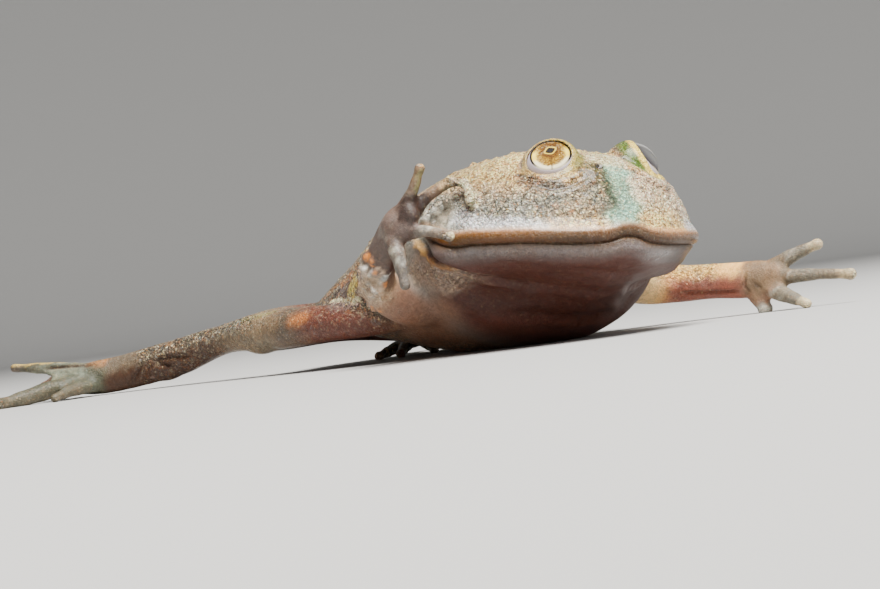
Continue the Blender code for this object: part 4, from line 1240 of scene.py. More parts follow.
def colour_skin(obj, settings):
    """Stores the skin's markings at its points: its colour, and how granular, specked and wet it is."""
    points = read_points(obj.data)
    level = unlean(points)
    side = mirrored(level)
    trunk = on_trunk(level, 1.1, 1.3)
    rough_side, rough_level, rough_points = ruffle(side, 0.25), ruffle(level, 0.3), ruffle(points, 0.22)
    x, s, z = level.T
    height = above_mouth(level)
    below = (1 - ease(-2.6, -1.6, height)) * (1 - ease(30, 50, s))
    mouth = (1 - ease(MOUTH_CORNER - 1, MOUTH_CORNER + 3, s)) * trunk
    lip_zone = ease(-3.6, -2.8, height) * (1 - ease(2.0, 3.6, height)) * mouth
    folded = near(WRINKLE_LINE, level, 2.0, 2.5) * trunk
    pale_band_sheen = near(BAND_LINE, side, 0.6, 1.5) * trunk

    tones = dict(TONES, head=settings.head, back=settings.back, shaded_belly=settings.shaded_belly)
    coat = Coat(tones, len(points))
    paint_ground(coat, level, below, trunk)
    coat.calm(lip_zone, 0.9, 0.93)
    coat.calm((1 - ease(0, 6, z)) * ease(20, 30, s), 0.7, 0)
    coat.calm(below * trunk * (1 - 0.4 * folded), 0.95, 0.95)
    coat.calm(ease(26, 30, z) * (1 - ease(24, 34, s)), 0.35, 0)
    coat.calm(pale_band_sheen, 0, 0.6)
    coat.calm(near(MINT_LINE, level, 1.8, 2.2) * trunk, 0.35, 0.6)
    coat.mark(HEAD_MARKS, rough_side, trunk)
    coat.mark(SNOUT_MARKS, rough_level, trunk)
    paint_lips(coat, level, height, mouth)

    limbs = paint_limbs(coat, level, rough_points)
    coat.mark(BODY_MARKS, rough_points)
    for i, (place, radius, _) in enumerate(elbow_beads(settings.seed, ELBOW_BEADS)):
        tone = ELBOW_TONES[i % len(ELBOW_TONES)]
        coat.paint(tone, 0.7 * near((place,), rough_points, 0.3 * radius, 0.5 * radius))
    digits = near(HAND_LINE, points, 7, 2) + near(LEFT_HAND_LINE, points, 7, 2)
    digits = (digits + near(FOOT_LINE, points, 10, 3)).clip(0, 1)
    coat.calm(digits, 0.9, 0.85)
    coat.calm(near(THIGH_LINE, points, 4.6, 1.5), 0.7, 0.7)
    coat.calm(near(CHEST_LINE, points, 4, 5), 0.85, 0.7)
    coat.paint("chest", 0.8 * near(CHEST_LINE, points, 1.5, 4))
    paint_lids(coat, points)
    paint_crease_shade(coat, side, HEAD_FOLDS, 0.75 * trunk)
    paint_crease_shade(coat, points, settle(LIMB_FOLDS, points), 0.95)
    # Black painted shade in the nostrils' openings, fainter on the left one.
    for place, radius, _ in NOSTRILS:
        spot = near((place,), side, 0.85 * radius, 0.5 * radius)
        coat.paint("hollow_shade", spot * (1 - 0.6 * ease(0, 1, x)))

    coat.wet = 0.6 + 0.4 * lip_zone + 0.5 * pale_band_sheen - 0.5 * below * trunk - 0.3 * ease(24, 44, s)
    coat.wet = coat.wet.clip(0, 1) * (1 - 0.6 * digits) * (1 - 0.6 * limbs)
    coat.wet *= 1 - 0.8 * ease(7, 13, x) * (height < 0)
    coat.wet *= 1 - 0.75 * mouth * np.exp(-(((height - 0.3) / 1.3) ** 2))
    coat.store(obj.data)


def plain_material(name):
    material = bpy.data.materials.new(name)
    material.use_nodes = True
    tree = material.node_tree
    tree.nodes.clear()
    out = tree.nodes.new("ShaderNodeOutputMaterial")
    shader = tree.nodes.new("ShaderNodeBsdfPrincipled")
    tree.links.new(shader.outputs["BSDF"], out.inputs["Surface"])
    return material, tree, shader


def add_node(tree, kind, inputs=None, **settings):
    """A node with its settings, and its inputs given as values or as other nodes' outputs."""
    node = tree.nodes.new(kind)
    for key, value in settings.items():
        setattr(node, key, value)
    for key, value in (inputs or {}).items():
        if isinstance(value, bpy.types.NodeSocket):
            tree.links.new(value, node.inputs[key])
        else:
            node.inputs[key].default_value = value
    return node


def maths(tree, operation, a, b=0.0, clamp=False):
    return add_node(tree, "ShaderNodeMath", {0: a, 1: b}, operation=operation, use_clamp=clamp).outputs[0]


def remap(tree, value, low, high, first=0.0, last=1.0, smoothly=True):
    inputs = {"Value": value, "From Min": low, "From Max": high, "To Min": first, "To Max": last}
    kind = "SMOOTHSTEP" if smoothly else "LINEAR"
    return add_node(tree, "ShaderNodeMapRange", inputs, interpolation_type=kind).outputs["Result"]


def times(tree, a, b, clamp=False):
    return maths(tree, "MULTIPLY", a, b, clamp)


def opaque(colour):
    return tuple(colour)[:3] + (1.0,)


def mix_colour(tree, amount, a, b, blend="MIX"):
    """Mixes two colours, each given as three numbers or as another node's output."""
    node = add_node(tree, "ShaderNodeMix", data_type="RGBA", blend_type=blend)
    for key, value in ((0, amount), (6, a), (7, b)):
        if isinstance(value, bpy.types.NodeSocket):
            tree.links.new(value, node.inputs[key])
        else:
            node.inputs[key].default_value = value if key == 0 else opaque(value)
    return node.outputs[2]


def noise(tree, where, scale, detail=3.0, roughness=0.55, distortion=0.0):
    inputs = {"Vector": where, "Scale": scale, "Detail": detail, "Roughness": roughness}
    return add_node(tree, "ShaderNodeTexNoise", dict(inputs, Distortion=distortion))


def cells(tree, where, scale, feature="F1", randomness=1.0):
    inputs = {"Vector": where, "Scale": scale, "Randomness": randomness}
    return add_node(tree, "ShaderNodeTexVoronoi", inputs, feature=feature)


def vector_maths(tree, operation, a, b=(0, 0, 0)):
    return add_node(tree, "ShaderNodeVectorMath", {0: a, 1: b}, operation=operation).outputs["Vector"]


def length_of(tree, vector):
    return add_node(tree, "ShaderNodeVectorMath", {0: vector}, operation="LENGTH").outputs["Value"]


def object_millimetres(tree):
    """Places on the object, in millimetres."""
    place = add_node(tree, "ShaderNodeTexCoord")
    scaled = add_node(tree, "ShaderNodeVectorMath", {0: place.outputs["Object"]}, operation="SCALE")
    scaled.inputs["Scale"].default_value = 1 / MM
    return scaled.outputs["Vector"]


def lines_of(tree, value, width):
    """Thin lines where a noise passes its middle value."""
    away = maths(tree, "ABSOLUTE", maths(tree, "SUBTRACT", value, 0.5))
    return remap(tree, away, 0.0, width, 1.0, 0.0)


def add_clouds(tree, colour, place, wavy, specked, settings):
    """A broad warm wash, clouds of other colours, and a worm-like light and shade."""
    broad = noise(tree, place, 0.16, 3.0).outputs["Fac"]
    wash = remap(tree, broad, 0.35, 0.65, 0.0, 0.3)
    colour = mix_colour(tree, wash, colour, settings.warm_wash, "OVERLAY")
    for name, scale, turn, strength in PATCHES:
        spun = add_node(tree, "ShaderNodeVectorRotate", {"Vector": place, "Angle": turn})
        cloud = noise(tree, spun.outputs[0], scale, 4.0, 0.62, 0.4).outputs["Fac"]
        amount = times(tree, remap(tree, cloud, 0.54, 0.66, 0.0, strength), specked)
        colour = mix_colour(tree, amount, colour, TONES[name])
    worm = noise(tree, wavy, 1.5, 5.0, 0.68, 0.8).outputs["Fac"]
    shade = remap(tree, worm, 0.38, 0.6, 0.25, 1.8, False)
    grey = add_node(tree, "ShaderNodeCombineColor", {0: shade, 1: shade, 2: shade}).outputs[0]
    shaded = mix_colour(tree, 1.0, colour, grey, "MULTIPLY")
    return mix_colour(tree, remap(tree, specked, 0.0, 1.0, 0.25, 1.0), colour, shaded)


def add_specks(tree, colour, wavy, specked, settings):
    """Small specks, each in one cell of a fine pattern."""
    small = cells(tree, wavy, settings.speck_density)
    chance = add_node(tree, "ShaderNodeSeparateColor", {"Color": small.outputs["Color"]})
    core = times(tree, remap(tree, small.outputs["Distance"], 0.16, 0.46, 1.0, 0.0), specked)
    for channel, low, high, name, strength in SPECKS:
        pick = maths(tree, "GREATER_THAN", chance.outputs[channel], low)
        stop = maths(tree, "LESS_THAN", chance.outputs[channel], high)
        amount = times(tree, times(tree, pick, stop), core)
        colour = mix_colour(tree, times(tree, amount, strength), colour, TONES[name])
    return colour


def add_crowns(tree, colour, wavy, granular, settings):
    """Coloured crowns on some of the granules."""
    big = cells(tree, wavy, settings.granule_density)
    chance = add_node(tree, "ShaderNodeSeparateColor", {"Color": big.outputs["Color"]})
    crown = times(tree, remap(tree, big.outputs["Distance"], 0.1, 0.46, 1.0, 0.0), granular)
    for channel, low, name, strength in CROWNS:
        pick = remap(tree, chance.outputs[channel], low, low + 0.06, 0.0, strength)
        colour = mix_colour(tree, times(tree, pick, crown), colour, TONES[name])
    return colour


def add_painted_glints(tree, colour, wavy, specked):
    """Painted glints: pale threads that wander between the specks, brightening the colour as light on wet
    ridges would.
    """
    drift = noise(tree, wavy, 1.2, 3.0, 0.62, 1.2).outputs["Color"]
    drift = add_node(tree, "ShaderNodeSeparateColor", {"Color": drift}).outputs[1]
    glint = times(tree, lines_of(tree, drift, 0.035), specked)
    return mix_colour(tree, times(tree, glint, 0.85), colour, GLINT, "MULTIPLY")


def make_skin_material(settings):
    """Wet, granular amphibian skin: the points' colours, broken up by cells of several sizes, with painted
    shade in its wrinkles and cracks and painted glints on its ridges.
    """
    material, tree, shader = plain_material("frog_skin")
    place = object_millimetres(tree)
    tint = add_node(tree, "ShaderNodeAttribute", attribute_name="tint").outputs["Color"]
    pattern = add_node(tree, "ShaderNodeAttribute", attribute_name="pattern").outputs["Color"]
    parts = add_node(tree, "ShaderNodeSeparateColor", {"Color": pattern})
    granular, specked, wet = parts.outputs[0], parts.outputs[1], parts.outputs[2]
    drift = noise(tree, place, 0.55, 2.0)
    push = vector_maths(tree, "MULTIPLY", drift.outputs["Color"], (0.9, 0.9, 0.9))
    wavy = vector_maths(tree, "ADD", place, push)
    vein = noise(tree, wavy, 1.1, 3.0, 0.6, 1.4).outputs["Fac"]
    wrinkle = times(tree, lines_of(tree, vein, 0.045), granular)
    rims = cells(tree, wavy, settings.granule_density, "DISTANCE_TO_EDGE").outputs["Distance"]
    tiny_rims = cells(tree, wavy, settings.speck_density, "DISTANCE_TO_EDGE").outputs["Distance"]

    colour = add_clouds(tree, tint, place, wavy, specked, settings)
    # Painted shade in the wrinkles and in the cracks between the granules and the specks.
    crack_shade = times(tree, remap(tree, rims, 0.0, 0.14, 0.24, 0.0), granular)
    fine_crack_shade = times(tree, remap(tree, tiny_rims, 0.0, 0.16, 0.2, 0.0), specked)
    for amount in (times(tree, wrinkle, 0.62), crack_shade, fine_crack_shade):
        colour = mix_colour(tree, amount, colour, TONES["dark"])
    colour = add_specks(tree, colour, wavy, specked, settings)
    colour = add_crowns(tree, colour, wavy, granular, settings)
    colour = add_painted_glints(tree, colour, wavy, specked)
    colour = mix_colour(tree, 1.0, colour, PALEST, "DARKEN")
    tree.links.new(colour, shader.inputs["Base Color"])

    film = noise(tree, place, 0.7, 3.0).outputs["Fac"]
    dampness = times(tree, wet, remap(tree, film, 0.3, 0.65, 0.5, 1.3, False), True)
    rough = remap(tree, dampness, 0.0, 1.0, settings.dry_roughness, settings.wet_roughness, False)
    tree.links.new(rough, shader.inputs["Roughness"])
    shader.inputs["Specular IOR Level"].default_value = SKIN_GLOSS
    shader.inputs["Subsurface Weight"].default_value = SKIN_DEPTH
    shader.inputs["Subsurface Radius"].default_value = SKIN_DEPTH_RADIUS
    shader.inputs["Subsurface Scale"].default_value = SKIN_DEPTH_METRES
    tree.links.new(times(tree, dampness, FILM_SHARE), shader.inputs["Coat Weight"])
    shader.inputs["Coat Roughness"].default_value = FILM_ROUGHNESS

    dome = times(tree, remap(tree, rims, 0.0, 0.3), granular)
    bead = times(tree, remap(tree, tiny_rims, 0.0, 0.32), times(tree, specked, BEAD_RELIEF))
    grain = noise(tree, place, 5.0, 3.0, 0.6).outputs["Fac"]
    height = maths(tree, "ADD", maths(tree, "ADD", dome, bead), times(tree, grain, GRAIN_RELIEF))
    height = maths(tree, "SUBTRACT", height, times(tree, wrinkle, WRINKLE_RELIEF))
    bump = add_node(tree, "ShaderNodeBump", {"Height": height})
    bump.inputs["Strength"].default_value = 1.0
    bump.inputs["Distance"].default_value = settings.bump_height
    tree.links.new(bump.outputs["Normal"], shader.inputs["Normal"])
    return material


def granule_tree():
    """Raises small beads over the skin where its pattern says it is granular."""
    tree = bpy.data.node_groups.new("skin_granules", "GeometryNodeTree")
    face = tree.interface
    face.new_socket("Geometry", in_out="OUTPUT", socket_type="NodeSocketGeometry")
    face.new_socket("Geometry", in_out="INPUT", socket_type="NodeSocketGeometry")
    for name in ("Bead Height", "Beads per Metre", "Lump Height", "Seed"):
        face.new_socket(name, in_out="INPUT", socket_type="NodeSocketFloat")
    face.new_socket("Skin Material", in_out="INPUT", socket_type="NodeSocketMaterial")
    start = tree.nodes.new("NodeGroupInput")
    end = tree.nodes.new("NodeGroupOutput")
    place = tree.nodes.new("GeometryNodeInputPosition")
    normal = tree.nodes.new("GeometryNodeInputNormal")
    pattern = add_node(tree, "GeometryNodeInputNamedAttribute", {"Name": "pattern"}, data_type="FLOAT_COLOR")
    parts = add_node(tree, "FunctionNodeSeparateColor", {"Color": pattern.outputs["Attribute"]})
    beads = add_node(tree, "ShaderNodeTexVoronoi", {
        "Vector": place.outputs[0], "Scale": start.outputs["Beads per Metre"], "W": start.outputs["Seed"],
    }, voronoi_dimensions="4D", feature="F1")
    dome = remap(tree, beads.outputs["Distance"], 0.08, 0.62, 1.0, 0.0)
    amount = times(tree, dome, parts.outputs[0])
    amount = times(tree, amount, start.outputs["Bead Height"])
    lumps = add_node(tree, "ShaderNodeTexNoise", {
        "Vector": place.outputs[0], "Scale": 260.0, "Detail": 2.0, "W": start.outputs["Seed"],
    }, noise_dimensions="4D")
    swell = maths(tree, "SUBTRACT", lumps.outputs[0], 0.5)
    swell = times(tree, times(tree, swell, start.outputs["Lump Height"]), parts.outputs[0])
    amount = maths(tree, "ADD", amount, swell)
    lifted = add_node(tree, "ShaderNodeSeparateXYZ", {0: place.outputs[0]})
    amount = times(tree, amount, remap(tree, lifted.outputs[2], 0.0, 0.0015))
    move = add_node(tree, "ShaderNodeVectorMath", {0: normal.outputs[0]}, operation="SCALE")
    tree.links.new(amount, move.inputs["Scale"])
    shift = add_node(tree, "GeometryNodeSetPosition", {
        "Geometry": start.outputs["Geometry"], "Offset": move.outputs["Vector"],
    })
    whole = add_node(tree, "GeometryNodeRealizeInstances", {"Geometry": shift.outputs[0]})
    coat = add_node(tree, "GeometryNodeSetMaterial", {
        "Geometry": whole.outputs[0], "Material": start.outputs["Skin Material"],
    })
    tree.links.new(coat.outputs[0], end.inputs[0])
    return tree


def grow_granules(obj, material, settings):
    """Raises the skin's granules with the tree above and leaves a plain mesh."""
    tree = granule_tree()
    beads = obj.modifiers.new("Granules", "NODES")
    beads.node_group = tree
    wanted = {
        "Bead Height": settings.granule_height, "Beads per Metre": settings.granule_density / MM,
        "Lump Height": settings.lump_height, "Seed": float(settings.seed), "Skin Material": material,
    }
    for item in tree.interface.items_tree:
        if item.in_out == "INPUT" and item.name in wanted:
            beads[item.identifier] = wanted[item.name]
    bake_modifiers(obj)


def shade_smoothly(obj):
    obj.data.polygons.foreach_set("use_smooth", np.ones(len(obj.data.polygons), bool))
    obj.data.update()


def eye_axes(look):
    """Directions across and up the eye's face."""
    across = look.cross(Vector(SKYWARD)).normalized()
    return across, across.cross(look).normalized()


def iris_height(across):
    """Height of the iris along the eye's axis: a shallow bowl set behind the clear cornea."""
    rim = math.sqrt(EYE_RADIUS**2 - IRIS_RADIUS**2) - IRIS_DEPTH / 3
    return rim - IRIS_DEPTH * (1 - (across / IRIS_RADIUS) ** 2)


def turn_eye_piece(name, profile, centre, look, sides):
    """A closed form of revolution about the eye's axis, with its own coordinates stored in mm."""
    across, up = eye_axes(look)
    points, own, faces = [], [], []
    for radius, height in profile[1:-1]:
        for j in range(sides):
            turn = 2 * math.pi * j / sides
            a, b = radius * math.cos(turn), radius * math.sin(turn)
            points.append(centre + across * a + up * b + look * height)
            own.append((a, b, height))
    for radius, height in (profile[0], profile[-1]):
        points.append(centre + look * height)
        own.append((0, 0, height))
    first, last = len(points) - 2, len(points) - 1
    rows = len(profile) - 2
    for j in range(sides):
        k = (j + 1) % sides
        for i in range(rows - 1):
            faces.append((i * sides + j, (i + 1) * sides + j, (i + 1) * sides + k, i * sides + k))
        faces.append((first, j, k))
        faces.append((last, (rows - 1) * sides + k, (rows - 1) * sides + j))
    mesh = bpy.data.meshes.new(name)
    mesh.from_pydata([tuple(p * MM) for p in points], [], faces)
    layer = mesh.attributes.new("eye_place", "FLOAT_VECTOR", "POINT")
    layer.data.foreach_set("vector", np.array(own, float).ravel())
    obj = add_closed_mesh(name, mesh)
    shade_smoothly(obj)
    return obj


def make_eye_material(settings):
    """Gold iris with a dark four-sided pupil in a pale ring, and the dark wall of the eyeball."""
    material, tree, shader = plain_material("frog_eye")
    own = add_node(tree, "ShaderNodeAttribute", attribute_name="eye_place").outputs["Vector"]
    parts = add_node(tree, "ShaderNodeSeparateXYZ", {0: own})
    a, b = parts.outputs[0], parts.outputs[1]
    flat = add_node(tree, "ShaderNodeCombineXYZ", {0: a, 1: b}).outputs[0]
    radius = length_of(tree, flat)
    shifted = maths(tree, "SUBTRACT", b, settings.pupil_rise)
    about = add_node(tree, "ShaderNodeCombineXYZ", {0: a, 1: shifted}).outputs[0]
    spread = length_of(tree, about)
    ripple = noise(tree, flat, 1.6, 4.0, 0.6)
    wobble = times(tree, maths(tree, "SUBTRACT", ripple.outputs["Fac"], 0.5), 0.7)
    soft_radius = maths(tree, "ADD", spread, wobble)

    fleck = noise(tree, flat, 3.4, 6.0, 0.7, 0.6).outputs["Fac"]
    grains = cells(tree, flat, 5.0)
    inner = mix_colour(tree, remap(tree, fleck, 0.42, 0.6), settings.iris_dark, settings.iris_gold)
    paleness = remap(tree, fleck, 0.42, 0.66, 0.0, 0.3)
    outer = mix_colour(tree, paleness, settings.iris_gold, settings.iris_pale)
    colour = mix_colour(tree, remap(tree, soft_radius, 1.3, 2.3), inner, outer)
    rough_radius = maths(tree, "ADD", radius, wobble)
    beside = times(tree, remap(tree, rough_radius, 2.15, 2.8), remap(tree, b, 1.9, 0.7))
    colour = mix_colour(tree, beside, colour, settings.iris_pale)
    low = times(tree, remap(tree, b, -0.3, -1.5), remap(tree, rough_radius, 2.1, 2.8))
    colour = mix_colour(tree, low, colour, settings.iris_white)
    grain_pick = add_node(tree, "ShaderNodeSeparateColor", {"Color": grains.outputs["Color"]}).outputs[0]
    sparkle = times(tree, remap(tree, grain_pick, 0.72, 0.8), remap(tree, radius, 1.1, 2.0))
    colour = mix_colour(tree, times(tree, sparkle, 0.12), colour, settings.iris_white)
    dark_grain = times(tree, remap(tree, grain_pick, 0.2, 0.12), remap(tree, radius, 3.0, 2.2))
    colour = mix_colour(tree, times(tree, dark_grain, 0.6), colour, settings.iris_dark)

    turned = add_node(tree, "ShaderNodeVectorRotate", {
        "Vector": about, "Angle": settings.pupil_turn,
    }, rotation_type="Z_AXIS").outputs[0]
    corner = add_node(tree, "ShaderNodeSeparateXYZ", {0: turned})
    across = maths(tree, "DIVIDE", maths(tree, "ABSOLUTE", corner.outputs[0]), settings.pupil_width * 0.5)
    upward = maths(tree, "DIVIDE", maths(tree, "ABSOLUTE", corner.outputs[1]), settings.pupil_height * 0.5)
    across = maths(tree, "POWER", across, PUPIL_SQUARENESS)
    shape = maths(tree, "ADD", across, maths(tree, "POWER", upward, PUPIL_SQUARENESS))
    ring = maths(tree, "SUBTRACT", remap(tree, shape, 1.0, 1.25), remap(tree, shape, 1.5, 1.9))
    colour = mix_colour(tree, times(tree, ring, 0.55, True), colour, settings.iris_pale)
    seam = remap(tree, maths(tree, "ABSOLUTE", a), 0.05, 0.28, 0.55, 0.0)
    seam = times(tree, seam, remap(tree, b, 0.3, -0.2))
    colour = mix_colour(tree, seam, colour, settings.iris_dark)
    colour = mix_colour(tree, remap(tree, shape, 1.12, 0.92), colour, PUPIL_BLACK)
    limbus = times(tree, remap(tree, radius, 3.12, 3.26), remap(tree, b, -2.9, -1.4, 0.35, 1.0))
    colour = mix_colour(tree, limbus, colour, LIMBUS_BLACK)
    colour = mix_colour(tree, remap(tree, radius, 3.5, 3.62), colour, settings.wall)
    tree.links.new(colour, shader.inputs["Base Color"])
    shader.inputs["Roughness"].default_value = IRIS_ROUGHNESS
    shader.inputs["Specular IOR Level"].default_value = IRIS_GLOSS
    bump = add_node(tree, "ShaderNodeBump", {"Height": fleck})
    bump.inputs["Strength"].default_value = IRIS_RELIEF
    bump.inputs["Distance"].default_value = IRIS_RELIEF_METRES
    tree.links.new(bump.outputs["Normal"], shader.inputs["Normal"])
    return material


def make_cornea_material(settings):
    """The clear, wet front of the eye."""
    material, tree, shader = plain_material("frog_cornea")
    own = add_node(tree, "ShaderNodeAttribute", attribute_name="eye_place").outputs["Vector"]
    film = noise(tree, own, 0.8, 2.0).outputs["Fac"]
    tree.links.new(remap(tree, film, 0.3, 0.7, 0.0, 0.03), shader.inputs["Roughness"])
    radius = length_of(tree, vector_maths(tree, "MULTIPLY", own, (1, 1, 0)))
    glass = mix_colour(tree, remap(tree, radius, 2.4, 3.6), (1, 1, 1), settings.cornea_rim)
    tree.links.new(glass, shader.inputs["Base Color"])
    shader.inputs["Transmission Weight"].default_value = 1.0
    shader.inputs["IOR"].default_value = settings.cornea_bend
    shader.inputs["Coat Weight"].default_value = CORNEA_FILM
    shader.inputs["Coat IOR"].default_value = CORNEA_FILM_BEND
    shader.inputs["Coat Roughness"].default_value = CORNEA_FILM_ROUGHNESS
    return material


def ball_profile(rim):
    """The eyeball's profile: the iris's bowl, and the round wall from its rim to the back."""
    radii = [IRIS_RADIUS * k / EYE_RINGS for k in range(1, EYE_RINGS)]
    bowl = [(radius, iris_height(radius)) for radius in radii]
    turns = [rim + (math.pi - rim) * k / EYE_RINGS for k in range(EYE_RINGS)]
    wall = [(EYE_RADIUS * math.sin(t), EYE_RADIUS * math.cos(t)) for t in turns]
    return [(0.0, iris_height(0.0))] + bowl + wall + [(0.0, -EYE_RADIUS)]


def cornea_profile(rim):
    """The cornea's profile: a round front just outside the ball, and a flat back inside it."""
    outer = EYE_RADIUS + CORNEA_GAP
    turns = [rim * CORNEA_OVERLAP * k / EYE_RINGS for k in range(EYE_RINGS + 1)]
    front = [(outer * math.sin(t), outer * math.cos(t)) for t in turns]
    edge, base = front[-1]
    deep = iris_height(0.0) - CORNEA_ROOT
    back = [(edge * CORNEA_TAPER, base - CORNEA_ROOT)]
    back += [(edge * k / EYE_RINGS, deep) for k in range(EYE_RINGS - 4, 0, -4)]
    return front + back + [(0.0, deep)]


def make_eyes(settings):
    """An eyeball and a clear cornea on each side."""
    iris = make_eye_material(settings)
    clear = make_cornea_material(settings)
    rim = math.acos(math.sqrt(EYE_RADIUS**2 - IRIS_RADIUS**2) / EYE_RADIUS)
    for side, node in ((-1, "right_eye"), (1, "left_eye")):
        centre, look, _ = eye_frame(side)
        eyeball = turn_eye_piece(f"{node}_ball", ball_profile(rim), centre, look, EYE_SIDES)
        eyeball.data.materials.append(iris)
        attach(eyeball, "root")
        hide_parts(node)
        cornea = turn_eye_piece(f"{node}_cornea", cornea_profile(rim), centre, look, EYE_SIDES)
        cornea.data.materials.append(clear)
        cornea.visible_shadow = False
        cornea.visible_diffuse = False
        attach(cornea, "root")


def make_floor(settings):
    """A pale floor that is flat round the frog and rises smoothly into a backdrop on all sides."""
    rings, sides, reach = FLOOR_RINGS, FLOOR_SIDES, settings.floor_radius
    points, faces = [(0, 0, 0)], []
    for i in range(1, rings + 1):
        radius = reach * i / rings
        height = settings.backdrop_height * float(ease(reach * FLOOR_FLAT, reach, radius))
        for j in range(sides):
            turn = 2 * math.pi * j / sides
            points.append((radius * math.cos(turn), radius * math.sin(turn), height))
    for j in range(sides):
        k = (j + 1) % sides
        faces.append((0, 1 + j, 1 + k))
        for i in range(rings - 1):
            row = 1 + i * sides
            faces.append((row + j, row + sides + j, row + sides + k, row + k))
    mesh = bpy.data.meshes.new("floor")
    mesh.from_pydata(points, [], faces)
    floor = bpy.data.objects.new("floor", mesh)
    bpy.context.scene.collection.objects.link(floor)
    shade_smoothly(floor)
    material, tree, shader = plain_material("pale_floor")
    shader.inputs["Base Color"].default_value = opaque(settings.floor_colour)
    shader.inputs["Roughness"].default_value = 0.7
    floor.data.materials.append(material)


def add_soft_light(name, place, size, power, colour):
    """A round area light that shines at the frog."""
    lamp = bpy.data.lights.new(name, "AREA")
    lamp.shape = "DISK"
    lamp.size = size
    lamp.energy = power
    lamp.color = colour
    obj = bpy.data.objects.new(name, lamp)
    obj.location = place
    obj.rotation_euler = (Vector(LIGHT_AIM) - Vector(place)).to_track_quat("-Z", "Y").to_euler()
    bpy.context.scene.collection.objects.link(obj)


def aim_camera(settings):
    """Sets the camera so that the frog's mouth notch falls where it does in the photograph."""
    turn = settings.view_turn
    back = Vector((math.sin(turn), -math.cos(turn), 0))
    across = Vector((math.cos(turn), math.sin(turn), 0))
    up = back.cross(across)
    rightward = across * math.cos(settings.view_roll) - up * math.sin(settings.view_roll)
    upward = across * math.sin(settings.view_roll) + up * math.cos(settings.view_roll)
    notch = Vector((0, SNOUT_Y, MOUTH_Z)) * MM
    middle = notch - rightward * NOTCH_RIGHT * MM + upward * NOTCH_DOWN * MM
    lens = bpy.data.cameras.new("camera")
    lens.sensor_width = 36.0
    lens.lens = settings.view_lens
    lens.clip_start = 0.01
    lens.clip_end = 20.0
    camera = bpy.data.objects.new("camera", lens)
    pose = Matrix((rightward, upward, back)).transposed().to_4x4()
    pose.translation = middle + back * settings.view_distance
    camera.matrix_world = pose
    bpy.context.scene.collection.objects.link(camera)
    bpy.context.scene.camera = camera


class FrogSkinSettings(bpy.types.PropertyGroup):
    """Colours and sizes of the skin."""

    # Partly the head's own colour and partly painted light, lighter as it is lit from above.
    head: FloatVectorProperty(
        name="Head", description="Colour of the head's top", subtype="COLOR", size=3, min=0, max=1,
        default=(1.0, 0.62, 0.25),
    )
    back: FloatVectorProperty(
        name="Back", description="Colour of the back", subtype="COLOR", size=3, min=0, max=1,
        default=(0.26, 0.205, 0.125),
    )
    # Darker than the belly's own colour, as painted shade on the underside.
    shaded_belly: FloatVectorProperty(
        name="Belly", description="Colour of the underside", subtype="COLOR", size=3, min=0, max=1,
        default=(0.29, 0.155, 0.10),
    )
    warm_wash: FloatVectorProperty(
        name="Warm wash", description="Tint that drifts over the skin in broad patches",
        subtype="COLOR", size=3, min=0, max=1, default=(0.62, 0.44, 0.26),
    )
    lip_fullness: FloatProperty(
        name="Lip fullness", description="How far the lips stand out, as a share", default=1.0, min=0,
        max=1.5,
    )
    granule_density: FloatProperty(
        name="Granules", description="Granules along each millimetre", default=1.15, min=0.2, max=4,
    )
    granule_height: FloatProperty(
        name="Granule height", description="How far a granule stands out", subtype="DISTANCE",
        unit="LENGTH", default=0.00014, min=0, max=0.001, precision=5,
    )
    lump_height: FloatProperty(
        name="Lump height", description="How uneven the skin is between the granules",
        subtype="DISTANCE", unit="LENGTH", default=0.0004, min=0, max=0.003, precision=5,
    )
    bump_height: FloatProperty(
        name="Fine relief", description="Height of the finest relief", subtype="DISTANCE",
        unit="LENGTH", default=0.00042, min=0, max=0.001, precision=5,
    )
    speck_density: FloatProperty(
        name="Specks", description="Specks along each millimetre", default=1.6, min=0.5, max=8,
    )
    dry_roughness: FloatProperty(
        name="Dry roughness", description="Roughness where the skin is driest", subtype="FACTOR",
        default=0.46, min=0, max=1,
    )
    wet_roughness: FloatProperty(
        name="Wet roughness", description="Roughness where the skin is wettest", subtype="FACTOR",
        default=0.16, min=0, max=1,
    )
    gland_count: IntProperty(
        name="Glands", description="Scattered glands on the back", default=150, min=0, max=400,
    )
    triangles: IntProperty(
        name="Triangles", description="Most triangles in the skin before carving", default=184000,
        min=20000, max=190000,
    )
    seed: IntProperty(name="Seed", description="Seed of the scattered details", default=7, min=0)


